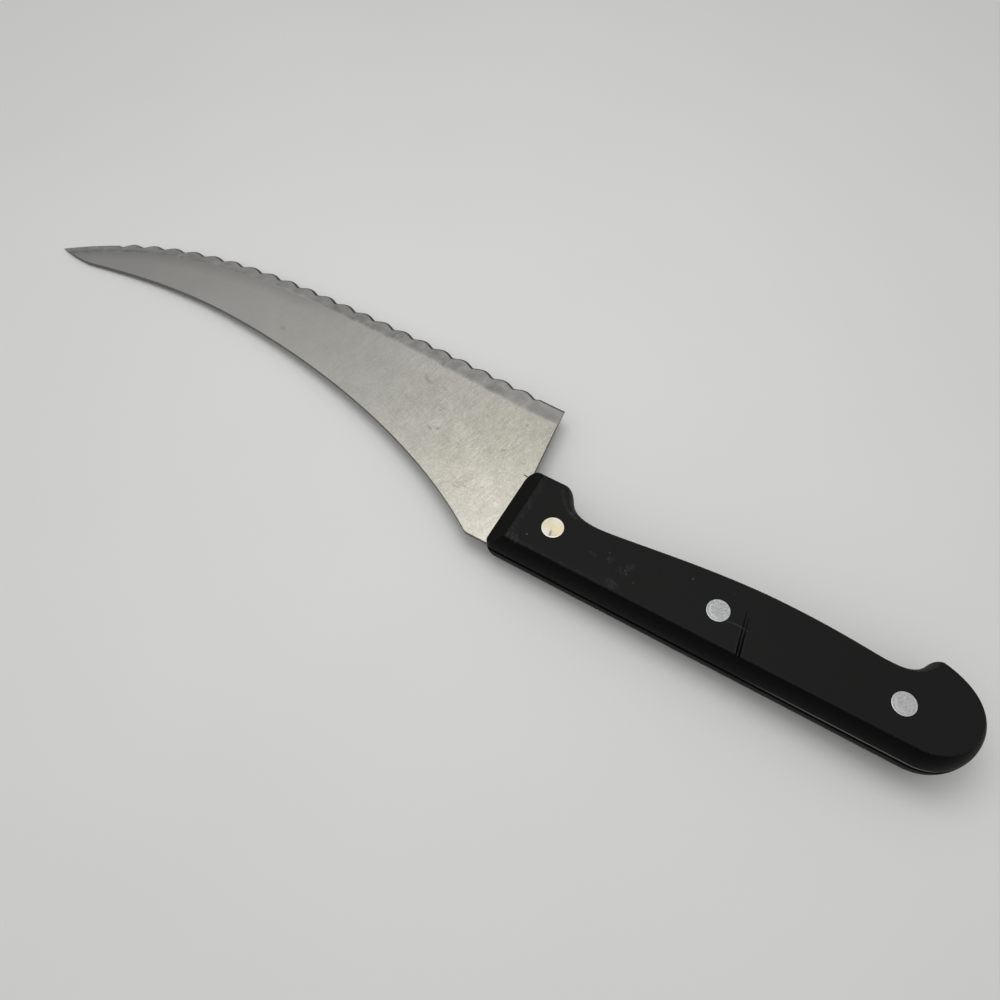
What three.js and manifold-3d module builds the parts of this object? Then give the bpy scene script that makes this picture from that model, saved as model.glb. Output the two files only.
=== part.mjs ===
// Curved kitchen knife: a stamped steel blade with a scalloped edge, and two plastic handle
// scales held on its tang by three two-piece rivets.
// Millimetres. While the pieces are made, X runs from the tip to the butt with 0 at the handle's
// front end, Y runs from the spine to the cutting edge with 0 on the line of the rivets, and Z
// runs from the left side to the right with 0 in the middle of the blade. At the end the knife
// is set down on its left side, centred over the origin.
import * as THREE from 'three';
import { mergeVertices } from 'three/addons/utils/BufferGeometryUtils.js';
import Module from 'manifold-3d';

// Blade: sheet, outline and tang
const BLADE_THICKNESS = 1.3;
const BLADE_LENGTH = 177.8; // handle front to tip
const TIP_HEIGHT = 14.9; // heights are measured from the rivet line
const TIP_EDGE_ANGLE = 37.3; // between the edge and the rivet line, in degrees
const TIP_SPINE_ANGLE = 16;
const EDGE_PEAK_SHARE = 0.4123; // shares of the blade's length, from the handle front
const EDGE_PEAK_HEIGHT = 40.25;
const HEEL_AHEAD = 1.87; // "ahead" is measured from the handle front towards the tip
const HEEL_HEIGHT = 38.4;
const HEEL_EDGE_ANGLE = 0.7;
const HEEL_LEAN = 7.2; // of the blade's straight back end, from square
const SPINE_DIP_SHARE = 0.9348; // the low point of the spine, just behind the tip
const SPINE_DIP_HEIGHT = 13.55;
const SPINE_ARCH_SHARE = 0.6631;
const SPINE_ARCH_HEIGHT = 19.1;
const NECK_AHEAD = 6.2;
const NECK_DEPTH = 9.5; // from the rivet line down to the neck's spine
const NECK_ANGLE = 33;
const NECK_ROUND = 0.8;
const SHOULDER_LENGTH = 4; // how far the full neck reaches into the handle
const SHOULDER_TAPER = 7;
const SHOULDER_ROUND = 2;
const TANG_WIDTH = 10;
const TANG_TAIL = 6.5; // tang behind the centre of the last rivet

// Blade: scallops and grind, all on the right face
const SCALLOP_PITCH = 7.23;
const SCALLOP_DEPTH = 1.05;
const PLAIN_HEEL = 9.66; // plain edge between the heel corner and the first notch
const PLAIN_TIP = 18; // plain edge that is left at least, between the last notch and the tip
const NOTCH_ROUND = 0.2; // how soft the notches are; 0 is sharp
const HEEL_GRIND_WIDTH = 5.7; // the grind is widest at the heel
const GRIND_WIDTH = 3.65;
const GRIND_TAPER = 95; // length of edge over which it narrows
const FLUTE_FADE = 0.3; // share of a scallop's height that is left at the grind's inner end
const EDGE_BEVEL_WIDTH = 0.8;
const EDGE_BEVEL_ANGLE = 35;
const GRIND_LAG = 0.9; // the grind's scallops sit this far nearer the heel than the bevel's

// Handle scales
const HANDLE_LENGTH = 126.4;
const SCALE_THICKNESS = 7;
const SIDE_CROWN = 2.2; // how far the rounded side leans in between the seam and the flat face
const FRONT_BEVEL = 5.5;
const FRONT_LAND = 0.4;
const SPINE_SIDE = 10.35; // from the rivet line down to the straight side
const FRONT_ROUND = 2.8;
const BUTT_RADIUS = 13;
const HOOK_AT = 112.1; // "at" is measured from the handle front towards the butt
const HOOK_HEIGHT = 16.1;
const HOOK_ROUND = 2.4;
const HOOK_FLANK_ANGLE = 64;
const HOOK_BACK_ANGLE = 13;
const DIP_AT = 100.3;
const DIP_HEIGHT = 10.2;
const BELLY_AT = 72.9;
const BELLY_HEIGHT = 11.8;
const RECESS_AT = 24.8;
const RECESS_HEIGHT = 7.45;
const GUARD_LENGTH = 11.8; // flat top of the guard, from the front
const GUARD_HEIGHT = 14.7;
const GUARD_ROUND = 3.1;
const GUARD_FLANK_ANGLE = 55.5;
const SEAM_WIDTH = 1; // of the groove where the two scales meet
const SEAM_DEPTH = 1.2;
const RIM_CLEARANCE = 0.05; // between each scale's rim and the middle of the blade
const POCKET_CLEARANCE = 0.3;

// Rivets
const FRONT_RIVET_AT = 15.2;
const RIVET_SPACING = 45.9;
const RIVET_NAMES = ['front', 'middle', 'rear'];
const HEAD_DIAMETER = 6;
const HEAD_THICKNESS = 2;
const HEAD_CHAMFER = 0.15;
const HEAD_SINK = 0.05; // below the flat of the scale
const SOCKET_DIAMETER = 4.4;
const POST_DIAMETER = 2.8;
const POST_END_GAP = 0.5; // between the post's end and the bottom of the socket
const SOCKET_END_GAP = 0.4; // between the socket's rim and the post's head
const RIVET_CLEARANCE = 0.1; // all round, in the scales and between the two halves
const TANG_HOLE_CLEARANCE = 0.2;

// How long each curve holds its direction at its two ends, as shares of the straight distance
const FULLNESS = {
  edgeHeel: [0.33, 0.51],
  edgeTip: [0.385, 0.37],
  spineTip: [0.25, 0.45],
  spineDip: [0.08, 0.53],
  spineArch: [0.16, 0.39],
  butt: [0.22, 0.59],
  hook: [0.54, 0.26],
  dip: [0.08, 0.56],
  belly: [0.4, 0.13],
  recess: [0.63, 0.26],
};

// Facets
const ROUND_STEPS = 6; // on a corner
const CURVE_STEPS = 10; // on a curve of the handle
const BUTT_STEPS = 12;
const SPINE_STEPS = 16;
const CROWN_STEPS = 5; // between the seam and the flat face
const SCALLOP_STEPS = 8;
const PLAIN_STEPS = 4; // on each plain stretch of the edge
const RIVET_STEPS = 32;
const CUT_OVERRUN = 3; // how far a cutter reaches past what it cuts

// Values that follow from the sizes above
const halfBlade = BLADE_THICKNESS / 2;
const lipHeight = SEAM_WIDTH / 2;
const faceHeight = lipHeight + SCALE_THICKNESS;
const tangEnd = FRONT_RIVET_AT + (RIVET_NAMES.length - 1) * RIVET_SPACING + TANG_TAIL;
const heelSlope = Math.tan(THREE.MathUtils.degToRad(HEEL_LEAN));

const wasm = await Module();
wasm.setup();

// A closed geometry as a solid for cutting
function toSolid(geometry) {
  const bare = geometry.clone();
  bare.deleteAttribute('normal');
  bare.deleteAttribute('uv');
  const merged = mergeVertices(bare);
  const corners = merged.index.array;
  const triangles = [];
  for (let first = 0; first < corners.length; first += 3) {
    const [a, b, c] = corners.slice(first, first + 3);
    if (a !== b && b !== c && c !== a) {
      triangles.push(a, b, c);
    }
  }
  return new wasm.Manifold(new wasm.Mesh({
    numProp: 3,
    vertProperties: merged.attributes.position.array,
    triVerts: Uint32Array.from(triangles),
  }));
}

function toGeometry(solid) {
  const { vertProperties, triVerts } = solid.getMesh();
  const geometry = new THREE.BufferGeometry();
  geometry.setAttribute('position', new THREE.BufferAttribute(vertProperties, 3));
  geometry.setIndex(new THREE.BufferAttribute(triVerts, 1));
  geometry.computeVertexNormals();
  return geometry;
}

function heading(degrees) {
  const angle = THREE.MathUtils.degToRad(degrees);
  return new THREE.Vector2(Math.cos(angle), Math.sin(angle));
}

// A fair curve that leaves one point and reaches another in given directions, in degrees
function fairCurve(start, startHeading, end, endHeading, [startShare, endShare]) {
  const distance = start.distanceTo(end);
  const leave = start.clone().addScaledVector(heading(startHeading), startShare * distance);
  const reach = end.clone().addScaledVector(heading(endHeading), -endShare * distance);
  return new THREE.CubicBezierCurve(start, leave, reach, end);
}

// A rounded corner about a centre, between two directions from that centre
function corner(x, y, radius, fromDegrees, toDegrees) {
  const from = THREE.MathUtils.degToRad(fromDegrees);
  const to = THREE.MathUtils.degToRad(toDegrees);
  return new THREE.EllipseCurve(x, y, radius, radius, from, to, toDegrees < fromDegrees);
}

function line(start, end) {
  return new THREE.LineCurve(start, end);
}

// A closed solid through rings of points; each ring turns left as seen from the last one
function loft(rings, capContour) {
  const size = rings[0].length;
  const last = (rings.length - 1) * size;
  const indices = [];
  for (let ring = 0; ring < last; ring += size) {
    for (let here = 0; here < size; here += 1) {
      const next = (here + 1) % size;
      indices.push(ring + here, ring + next, ring + size + next);
      indices.push(ring + here, ring + size + next, ring + size + here);
    }
  }
  for (const [a, b, c] of THREE.ShapeUtils.triangulateShape(capContour, [])) {
    indices.push(c, b, a);
    indices.push(last + a, last + b, last + c);
  }
  const geometry = new THREE.BufferGeometry().setFromPoints(rings.flat());
  geometry.setIndex(indices);
  return geometry;
}

function extrude(shape, bottom, top, steps = ROUND_STEPS) {
  const geometry = new THREE.ExtrudeGeometry(shape, {
    depth: top - bottom,
    bevelEnabled: false,
    curveSegments: steps,
  });
  return geometry.translate(0, 0, bottom);
}

// A solid turned about the Z axis from a profile of [radius, height] pairs
function turn(profile) {
  const points = profile.map(([radius, height]) => new THREE.Vector2(radius, height));
  return new THREE.LatheGeometry(points, RIVET_STEPS).rotateX(Math.PI / 2);
}

const rivetPlaces = RIVET_NAMES.map((name, index) => FRONT_RIVET_AT + index * RIVET_SPACING);

// Blade
const tip = new THREE.Vector2(-BLADE_LENGTH, TIP_HEIGHT);
const heel = new THREE.Vector2(-HEEL_AHEAD, HEEL_HEIGHT);
const edgePeak = new THREE.Vector2(-EDGE_PEAK_SHARE * BLADE_LENGTH, EDGE_PEAK_HEIGHT);
const spineDip = new THREE.Vector2(-SPINE_DIP_SHARE * BLADE_LENGTH, SPINE_DIP_HEIGHT);
const spineArch = new THREE.Vector2(-SPINE_ARCH_SHARE * BLADE_LENGTH, SPINE_ARCH_HEIGHT);
const neck = new THREE.Vector2(-NECK_AHEAD, -NECK_DEPTH);

function heelLineAt(height) {
  return -HEEL_AHEAD + (HEEL_HEIGHT - height) * heelSlope;
}

// The middle line of the scallops, from the heel to the tip
function edgeLine() {
  const path = new THREE.CurvePath();
  path.add(fairCurve(heel, 180 - HEEL_EDGE_ANGLE, edgePeak, 180, FULLNESS.edgeHeel));
  path.add(fairCurve(edgePeak, 180, tip, 180 + TIP_EDGE_ANGLE, FULLNESS.edgeTip));
  return path;
}

const edge = edgeLine();
const edgeLength = edge.getLength();
const scallopCount = Math.floor((edgeLength - PLAIN_HEEL - PLAIN_TIP) / SCALLOP_PITCH);

// Round the tang from the neck's spine to the blade's back end, larger all round by grow
function traceTang(shape, grow) {
  const low = -TANG_WIDTH / 2 - grow;
  const high = TANG_WIDTH / 2 + grow;
  const backAt = heelLineAt(high) + grow;
  const taperStart = SHOULDER_LENGTH + grow;
  const taperMiddle = taperStart + SHOULDER_TAPER / 2;
  const taperEnd = taperStart + SHOULDER_TAPER;
  shape.lineTo(taperStart, -NECK_DEPTH - grow);
  shape.bezierCurveTo(taperMiddle, -NECK_DEPTH - grow, taperMiddle, low, taperEnd, low);
  shape.lineTo(tangEnd - TANG_WIDTH / 2, low);
  shape.absarc(tangEnd - TANG_WIDTH / 2, 0, high, -Math.PI / 2, Math.PI / 2, false);
  shape.lineTo(backAt + SHOULDER_ROUND, high);
  const roundTop = high + SHOULDER_ROUND;
  shape.quadraticCurveTo(backAt, high, heelLineAt(roundTop) + grow, roundTop);
}

// The stamped blank, with spare metal along the edge for the grind to take away
function blankShape() {
  const shape = new THREE.Shape();
  const spineTip = fairCurve(tip, -TIP_SPINE_ANGLE, spineDip, 0, FULLNESS.spineTip);
  const spineRise = fairCurve(spineDip, 0, spineArch, 0, FULLNESS.spineDip);
  const spineFall = fairCurve(spineArch, 0, neck, -NECK_ANGLE, FULLNESS.spineArch);
  const spinePoints = [spineTip, spineRise, spineFall].flatMap((curve, index) => (
    curve.getPoints(SPINE_STEPS).slice(index === 0 ? 0 : 1)
  ));
  spinePoints.pop();
  shape.setFromPoints(spinePoints);
  const beforeNeck = neck.clone().addScaledVector(heading(-NECK_ANGLE), -NECK_ROUND);
  shape.lineTo(beforeNeck.x, beforeNeck.y);
  shape.quadraticCurveTo(neck.x, neck.y, neck.x + NECK_ROUND, neck.y);
  traceTang(shape, 0);
  const spareHeel = HEEL_HEIGHT + SCALLOP_DEPTH;
  shape.lineTo(heelLineAt(spareHeel), spareHeel);
  for (const point of edge.getSpacedPoints(SPINE_STEPS).slice(1)) {
    shape.lineTo(point.x, point.y + SCALLOP_DEPTH);
  }
  for (const place of rivetPlaces) {
    const hole = new THREE.Path();
    const radius = SOCKET_DIAMETER / 2 + TANG_HOLE_CLEARANCE;
    hole.absarc(place, 0, radius, 0, 2 * Math.PI, true);
    shape.holes.push(hole);
  }
  return shape;
}

// How far a round scallop has risen from the notch, from 0 to 1, at a sine of its length
const scallopTop = Math.hypot(1, NOTCH_ROUND) - NOTCH_ROUND;
const scallopRise = (sine) => (Math.hypot(sine, NOTCH_ROUND) - NOTCH_ROUND) / scallopTop;

// Past the last notch the edge rises to half a scallop, and runs on plain from there
const halfRise = scallopTop / 2 + NOTCH_ROUND;
const runOut = Math.asin(Math.sqrt(halfRise ** 2 - NOTCH_ROUND ** 2)) / Math.PI;

// How far the edge stands out from its middle line
function scallop(along) {
  const phase = (along - PLAIN_HEEL) / SCALLOP_PITCH;
  const past = Math.max(-phase, phase - scallopCount);
  const bump = past > runOut ? 1 / 2 : scallopRise(Math.sin(Math.PI * phase));
  return SCALLOP_DEPTH * (bump - 1 / 2);
}

// Where the grind is measured: along the plain heel, every scallop and the plain tip
function grindStations(lead) {
  const scallopStart = PLAIN_HEEL + lead;
  const scallopEnd = scallopStart + scallopCount * SCALLOP_PITCH;
  const plainAfter = runOut * SCALLOP_PITCH;
  const stations = [-CUT_OVERRUN];
  for (let step = 0; step <= PLAIN_STEPS; step += 1) {
    stations.push((scallopStart - plainAfter) * step / PLAIN_STEPS);
  }
  for (let step = 0; step <= scallopCount * SCALLOP_STEPS; step += 1) {
    stations.push(scallopStart + step * SCALLOP_PITCH / SCALLOP_STEPS);
  }
  for (let step = 0; step <= PLAIN_STEPS; step += 1) {
    stations.push(THREE.MathUtils.lerp(scallopEnd + plainAfter, edgeLength, step / PLAIN_STEPS));
  }
  stations.push(edgeLength + CUT_OVERRUN);
  return stations;
}

// What a wheel takes away: everything above a slope that goes through two points of each section,
// given as [distance out from the edge's middle line, height in the sheet]
function wheelCutter(lead, slopeThrough) {
  const above = BLADE_THICKNESS + CUT_OVERRUN;
  const outer = SCALLOP_DEPTH + CUT_OVERRUN;
  const rings = grindStations(lead).map((along) => {
    const share = THREE.MathUtils.clamp(along / edgeLength, 0, 1);
    const ahead = edge.getTangent(share);
    const outward = new THREE.Vector2(ahead.y, -ahead.x);
    const base = edge.getPoint(share).addScaledVector(ahead, along - share * edgeLength);
    const [[foot, low], [end, high]] = slopeThrough(scallop(along - lead), along);
    const slope = (high - low) / (foot - end);
    const inner = foot - (above - low) / slope;
    const section = [[inner, above], [outer, above], [outer, low - (outer - foot) * slope]];
    return section.map(([out, height]) => {
      const point = base.clone().addScaledVector(outward, out);
      return new THREE.Vector3(point.x, point.y, height - halfBlade);
    });
  });
  const seenFromTip = [new THREE.Vector2(1, 1), new THREE.Vector2(0, 1), new THREE.Vector2(0, 0)];
  return toSolid(loft(rings, seenFromTip));
}

function grindWidthAt(along) {
  const share = THREE.MathUtils.smoothstep(along, 0, GRIND_TAPER);
  return THREE.MathUtils.lerp(HEEL_GRIND_WIDTH, GRIND_WIDTH, share);
}

function bladeGeometry() {
  const blank = toSolid(extrude(blankShape(), -halfBlade, halfBlade));
  const bevelRise = EDGE_BEVEL_WIDTH * Math.tan(THREE.MathUtils.degToRad(EDGE_BEVEL_ANGLE));
  const grind = wheelCutter(-GRIND_LAG, (bump, along) => [
    [bump - EDGE_BEVEL_WIDTH, bevelRise],
    [bump * FLUTE_FADE - grindWidthAt(along), BLADE_THICKNESS],
  ]);
  const bevel = wheelCutter(0, (bump) => [[bump, 0], [bump - EDGE_BEVEL_WIDTH, bevelRise]]);
  return toGeometry(blank.subtract(grind).subtract(bevel));
}

// Handle scales
const sideRadius = (SCALE_THICKNESS ** 2 + SIDE_CROWN ** 2) / (2 * SIDE_CROWN);
const sideSweep = Math.asin(SCALE_THICKNESS / sideRadius);

// The scale's outline at the seam as smooth curves, each with its number of facets
function scaleOutline() {
  const guardRound = Math.max(GUARD_ROUND, SIDE_CROWN);
  const frontRound = Math.max(FRONT_ROUND, SIDE_CROWN);
  const hookRound = Math.max(HOOK_ROUND, SIDE_CROWN);
  const buttMiddle = BUTT_RADIUS - SPINE_SIDE;
  const buttAt = HANDLE_LENGTH - BUTT_RADIUS;
  const hookMiddle = HOOK_HEIGHT - hookRound;
  const guardMiddle = GUARD_HEIGHT - guardRound;
  const lowCorner = corner(frontRound, frontRound - SPINE_SIDE, frontRound, 180, 270);
  const buttCorner = corner(buttAt, buttMiddle, BUTT_RADIUS, -90, 0);
  const hookTop = 90 - HOOK_BACK_ANGLE;
  const hookCorner = corner(HOOK_AT, hookMiddle, hookRound, hookTop, 90 + HOOK_FLANK_ANGLE);
  const guardTop = corner(GUARD_LENGTH, guardMiddle, guardRound, 90 - GUARD_FLANK_ANGLE, 90);
  const highCorner = corner(frontRound, GUARD_HEIGHT - frontRound, frontRound, 90, 180);
  const dip = new THREE.Vector2(DIP_AT, DIP_HEIGHT);
  const belly = new THREE.Vector2(BELLY_AT, BELLY_HEIGHT);
  const recess = new THREE.Vector2(RECESS_AT, RECESS_HEIGHT);
  const buttTop = buttCorner.getPoint(1);
  const hookBack = hookCorner.getPoint(0);
  const hookFlank = hookCorner.getPoint(1);
  const guardFlank = guardTop.getPoint(0);
  return [
    [lowCorner, ROUND_STEPS],
    [line(lowCorner.getPoint(1), buttCorner.getPoint(0)), 1],
    [buttCorner, BUTT_STEPS],
    [fairCurve(buttTop, 90, hookBack, 180 - HOOK_BACK_ANGLE, FULLNESS.butt), CURVE_STEPS],
    [hookCorner, ROUND_STEPS],
    [fairCurve(hookFlank, 180 + HOOK_FLANK_ANGLE, dip, 180, FULLNESS.hook), CURVE_STEPS],
    [fairCurve(dip, 180, belly, 180, FULLNESS.dip), CURVE_STEPS],
    [fairCurve(belly, 180, recess, 180, FULLNESS.belly), CURVE_STEPS],
    [fairCurve(recess, 180, guardFlank, 180 - GUARD_FLANK_ANGLE, FULLNESS.recess), CURVE_STEPS],
    [guardTop, ROUND_STEPS],
    [line(guardTop.getPoint(1), highCorner.getPoint(0)), 1],
    [highCorner, ROUND_STEPS],
    [line(highCorner.getPoint(1), lowCorner.getPoint(0)), 1],
  ];
}

// The outline's points, moved inwards by inset
function outlineRing(outline, inset, height) {
  return outline.flatMap(([curve, steps]) => (
    Array.from({ length: steps }, (unused, step) => {
      const point = curve.getPoint(step / steps);
      const ahead = curve.getTangent(step / steps);
      return new THREE.Vector3(point.x - ahead.y * inset, point.y + ahead.x * inset, height);
    })
  ));
}

// The raised rim that closes the handle behind the seam; side is 1 on the right and -1 on the left
function rim(outline, side) {
  const ring = outlineRing(outline, SEAM_DEPTH, 0);
  const shape = new THREE.Shape(ring.map((point) => new THREE.Vector2(point.x, point.y)));
  const root = lipHeight + SEAM_WIDTH;
  const bottom = side > 0 ? RIM_CLEARANCE : -root;
  return toSolid(extrude(shape, bottom, bottom + root - RIM_CLEARANCE));
}

// The slanted cut at the front
function frontCutter(side) {
  const slope = (faceHeight - lipHeight - FRONT_LAND) / FRONT_BEVEL;
  const low = lipHeight + FRONT_LAND - CUT_OVERRUN * slope;
  const high = faceHeight + CUT_OVERRUN * slope;
  const wedge = new THREE.Shape([
    new THREE.Vector2(-CUT_OVERRUN, side * low),
    new THREE.Vector2(FRONT_BEVEL + CUT_OVERRUN, side * high),
    new THREE.Vector2(-CUT_OVERRUN, side * high),
  ]);
  const deepest = SPINE_SIDE + CUT_OVERRUN;
  return toSolid(extrude(wedge, -GUARD_HEIGHT - CUT_OVERRUN, deepest).rotateX(Math.PI / 2));
}

// The seat for the tang in the inner face
function pocketCutter(side) {
  const shape = new THREE.Shape();
  const top = GUARD_HEIGHT + CUT_OVERRUN;
  shape.moveTo(-CUT_OVERRUN, -NECK_DEPTH - POCKET_CLEARANCE);
  traceTang(shape, POCKET_CLEARANCE);
  shape.lineTo(heelLineAt(top) + POCKET_CLEARANCE, top);
  shape.lineTo(-CUT_OVERRUN, top);
  const bottom = side > 0 ? 0 : -halfBlade;
  return toSolid(extrude(shape, bottom, bottom + halfBlade));
}

// A stepped hole for a rivet's shank and head
function rivetCutter(place, side) {
  const shank = SOCKET_DIAMETER / 2 + RIVET_CLEARANCE;
  const head = HEAD_DIAMETER / 2 + RIVET_CLEARANCE;
  const ledge = faceHeight - HEAD_SINK - HEAD_THICKNESS;
  const past = faceHeight + CUT_OVERRUN;
  const profile = [[0, 0], [shank, 0], [shank, ledge], [head, ledge], [head, past], [0, past]];
  return toSolid(turnFor(side, profile).translate(place, 0, 0));
}

// A turned solid that points to one side of the handle
function turnFor(side, profile) {
  const placed = profile.map(([radius, height]) => [radius, side * height]);
  return turn(side > 0 ? placed : placed.reverse());
}

function scaleGeometry(side) {
  const outline = scaleOutline();
  const rings = Array.from({ length: CROWN_STEPS + 1 }, (unused, step) => {
    const lean = sideSweep * step / CROWN_STEPS;
    const inset = sideRadius * (1 - Math.cos(lean));
    return outlineRing(outline, inset, side * (lipHeight + sideRadius * Math.sin(lean)));
  });
  const upward = side > 0 ? rings : rings.reverse();
  const cap = outlineRing(outline, 0, 0).map((point) => new THREE.Vector2(point.x, point.y));
  let solid = toSolid(loft(upward, cap)).add(rim(outline, side));
  solid = solid.subtract(frontCutter(side)).subtract(pocketCutter(side));
  for (const place of rivetPlaces) {
    solid = solid.subtract(rivetCutter(place, side));
  }
  return toGeometry(solid);
}

// Rivets
const headTop = faceHeight - HEAD_SINK;
const headSeat = headTop - HEAD_THICKNESS;
const headRadius = HEAD_DIAMETER / 2;

// The solid half, with its head in the right scale
function postGeometry() {
  const shank = POST_DIAMETER / 2;
  const end = POST_END_GAP - headSeat;
  const solid = toSolid(turnFor(1, [
    [0, end],
    [shank, end],
    [shank, headSeat],
    [headRadius, headSeat],
    [headRadius, headTop - HEAD_CHAMFER],
    [headRadius - HEAD_CHAMFER, headTop],
    [0, headTop],
  ]));
  return toGeometry(solid);
}

// The hollow half, with its head in the left scale
function socketGeometry() {
  const bore = POST_DIAMETER / 2 + RIVET_CLEARANCE;
  const shank = SOCKET_DIAMETER / 2;
  const rim = headSeat - SOCKET_END_GAP;
  const solid = toSolid(turnFor(1, [
    [0, -headTop],
    [headRadius - HEAD_CHAMFER, -headTop],
    [headRadius, HEAD_CHAMFER - headTop],
    [headRadius, -headSeat],
    [shank, -headSeat],
    [shank, rim],
    [bore, rim],
    [bore, -headSeat],
    [0, -headSeat],
  ]));
  return toGeometry(solid);
}

// Assembly
const steel = new THREE.MeshStandardMaterial({ color: 0xa9a7a0, roughness: 0.38, metalness: 1 });
const plastic = new THREE.MeshStandardMaterial({ color: 0x1b1b1b, roughness: 0.55, metalness: 0 });
const aluminium = new THREE.MeshStandardMaterial({ color: 0xc4c4c6, roughness: 0.5, metalness: 1 });

function piece(name, geometry, material, place = 0) {
  const mesh = new THREE.Mesh(geometry, material);
  mesh.name = name;
  mesh.position.x = place;
  return mesh;
}

const knife = new THREE.Group();
knife.add(piece('blade', bladeGeometry(), steel));
knife.add(piece('right_scale', scaleGeometry(1), plastic));
knife.add(piece('left_scale', scaleGeometry(-1), plastic));
RIVET_NAMES.forEach((name, index) => {
  const place = rivetPlaces[index];
  knife.add(piece(`${name}_rivet_post`, postGeometry(), aluminium, place));
  knife.add(piece(`${name}_rivet_socket`, socketGeometry(), aluminium, place));
});

// Set down on the left side, with the middle of the whole knife over the origin
const extent = new THREE.Box3().setFromObject(knife);
const middle = extent.getCenter(new THREE.Vector3());
knife.position.set(-middle.x, -middle.y, -extent.min.z);

export default knife;
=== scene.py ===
"""A serrated kitchen knife on a pale table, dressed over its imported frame.

Sizes are millimetres in the knife's own datum: X from the tip to the butt with 0 at the handle's
front, Y from the spine to the edge with 0 on the rivet line, and Z from the left side to the right
with 0 in the middle of the blade. placed() turns them into the frame's metres.
"""
import math

import bmesh
import bpy
import numpy as np
from mathutils import Matrix, Vector


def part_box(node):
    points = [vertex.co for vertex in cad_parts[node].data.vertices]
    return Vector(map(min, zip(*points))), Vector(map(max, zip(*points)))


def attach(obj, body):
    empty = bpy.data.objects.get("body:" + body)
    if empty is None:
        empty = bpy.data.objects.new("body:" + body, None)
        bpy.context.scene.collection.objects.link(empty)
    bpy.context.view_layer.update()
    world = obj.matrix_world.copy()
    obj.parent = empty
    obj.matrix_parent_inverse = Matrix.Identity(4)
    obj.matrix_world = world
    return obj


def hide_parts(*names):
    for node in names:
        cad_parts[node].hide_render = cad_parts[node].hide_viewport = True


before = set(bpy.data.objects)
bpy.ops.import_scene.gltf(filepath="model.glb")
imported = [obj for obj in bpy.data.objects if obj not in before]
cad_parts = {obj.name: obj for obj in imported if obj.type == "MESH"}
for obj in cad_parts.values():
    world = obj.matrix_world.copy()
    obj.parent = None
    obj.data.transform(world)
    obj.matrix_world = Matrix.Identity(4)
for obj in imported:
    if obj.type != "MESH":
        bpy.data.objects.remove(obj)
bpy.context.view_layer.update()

MM = 0.001

# Blade: sheet, outline and tang
BLADE_THICKNESS = 1.3
BLADE_LENGTH = 177.8
TIP_HEIGHT = 14.9
TIP_EDGE_ANGLE = 37.3
TIP_SPINE_ANGLE = 16
EDGE_PEAK_SHARE = 0.4123
EDGE_PEAK_HEIGHT = 40.25
HEEL_AHEAD = 1.87
HEEL_HEIGHT = 38.4
HEEL_EDGE_ANGLE = 0.7
HEEL_LEAN = 7.2
SPINE_DIP_SHARE = 0.9348
SPINE_DIP_HEIGHT = 13.55
SPINE_ARCH_SHARE = 0.6631
SPINE_ARCH_HEIGHT = 19.1
NECK_AHEAD = 6.2
NECK_DEPTH = 9.5
NECK_ANGLE = 33
NECK_ROUND = 0.8
NECK_CLEAR = 1.2  # the spine's own points stop this many rounds before the neck
SHOULDER_LENGTH = 4
SHOULDER_TAPER = 7
SHOULDER_ROUND = 2
TANG_WIDTH = 10
TANG_TAIL = 6.5
SHEAR_ROUND = 0.1  # the blanking press rounds the sheet's corners

# Blade: scallops and grind
SCALLOP_PITCH = 7.23
SCALLOP_DEPTH = 1.05
SCALLOP_COUNT = 21
PLAIN_HEEL = 9.66
NOTCH_ROUND = 0.2
HEEL_GRIND_WIDTH = 5.7
GRIND_WIDTH = 3.65
GRIND_TAPER = 95
FLUTE_FADE = 0.3
EDGE_BEVEL_WIDTH = 0.8
EDGE_BEVEL_ANGLE = 35
GRIND_LAG = 0.9
GRIND_ROLL = 1.3  # width over which the grind rolls over into the flat face
GRIND_ROLL_STEPS = 4
GRIND_STATIONS = 936

# Handle scales
HANDLE_LENGTH = 126.4
SCALE_THICKNESS = 7
SIDE_CROWN = 2.2
FRONT_BEVEL = 5.5
FRONT_LAND = 0.4
SPINE_SIDE = 10.35
FRONT_ROUND = 2.8
BUTT_RADIUS = 13
HOOK_AT = 112.1
HOOK_HEIGHT = 16.1
HOOK_ROUND = 2.4
HOOK_FLANK_ANGLE = 64
HOOK_BACK_ANGLE = 13
DIP_AT = 100.3
DIP_HEIGHT = 10.2
BELLY_AT = 72.9
BELLY_HEIGHT = 11.8
RECESS_AT = 24.8
RECESS_HEIGHT = 7.45
GUARD_LENGTH = 11.8
GUARD_HEIGHT = 14.7
GUARD_ROUND = 3.1
GUARD_FLANK_ANGLE = 55.5
SEAM_WIDTH = 1
SEAM_DEPTH = 1.2
RIM_CLEARANCE = 0.05
POCKET_CLEARANCE = 0.3
LIP_ROUND = 0.22  # the scale's edge along the seam
FACE_ROUND = 0.25  # the worn corner between the side and the flat face
BEVEL_ROUND = 0.7  # the worn corner between the front bevel and the flat face

# Rivets
FRONT_RIVET_AT = 15.2
RIVET_SPACING = 45.9
RIVET_COUNT = 3
HEAD_DIAMETER = 6
HEAD_THICKNESS = 2
HEAD_CHAMFER = 0.15
CHAMFER_BEND = 0.3  # share of the chamfer at its rounded middle
HEAD_SINK = 0.05
SHANK_DIAMETER = 4.4
RING_WIDTH = 0.35
RING_DEPTH = 0.02
RING_MIDDLE = 0.3  # shares of the ring's width
RING_INNER = 0.6
RIVET_CLEARANCE = 0.1
TANG_HOLE_CLEARANCE = 0.2

# Two knife cuts across the right scale: start, end, widest width and depth
CUTS = (
    ((67.14, 3.53), (69.3, -8.6), 0.65, 0.65),
    ((68.27, 1.78), (70.1, -8.9), 0.7, 0.7),
)
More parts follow.
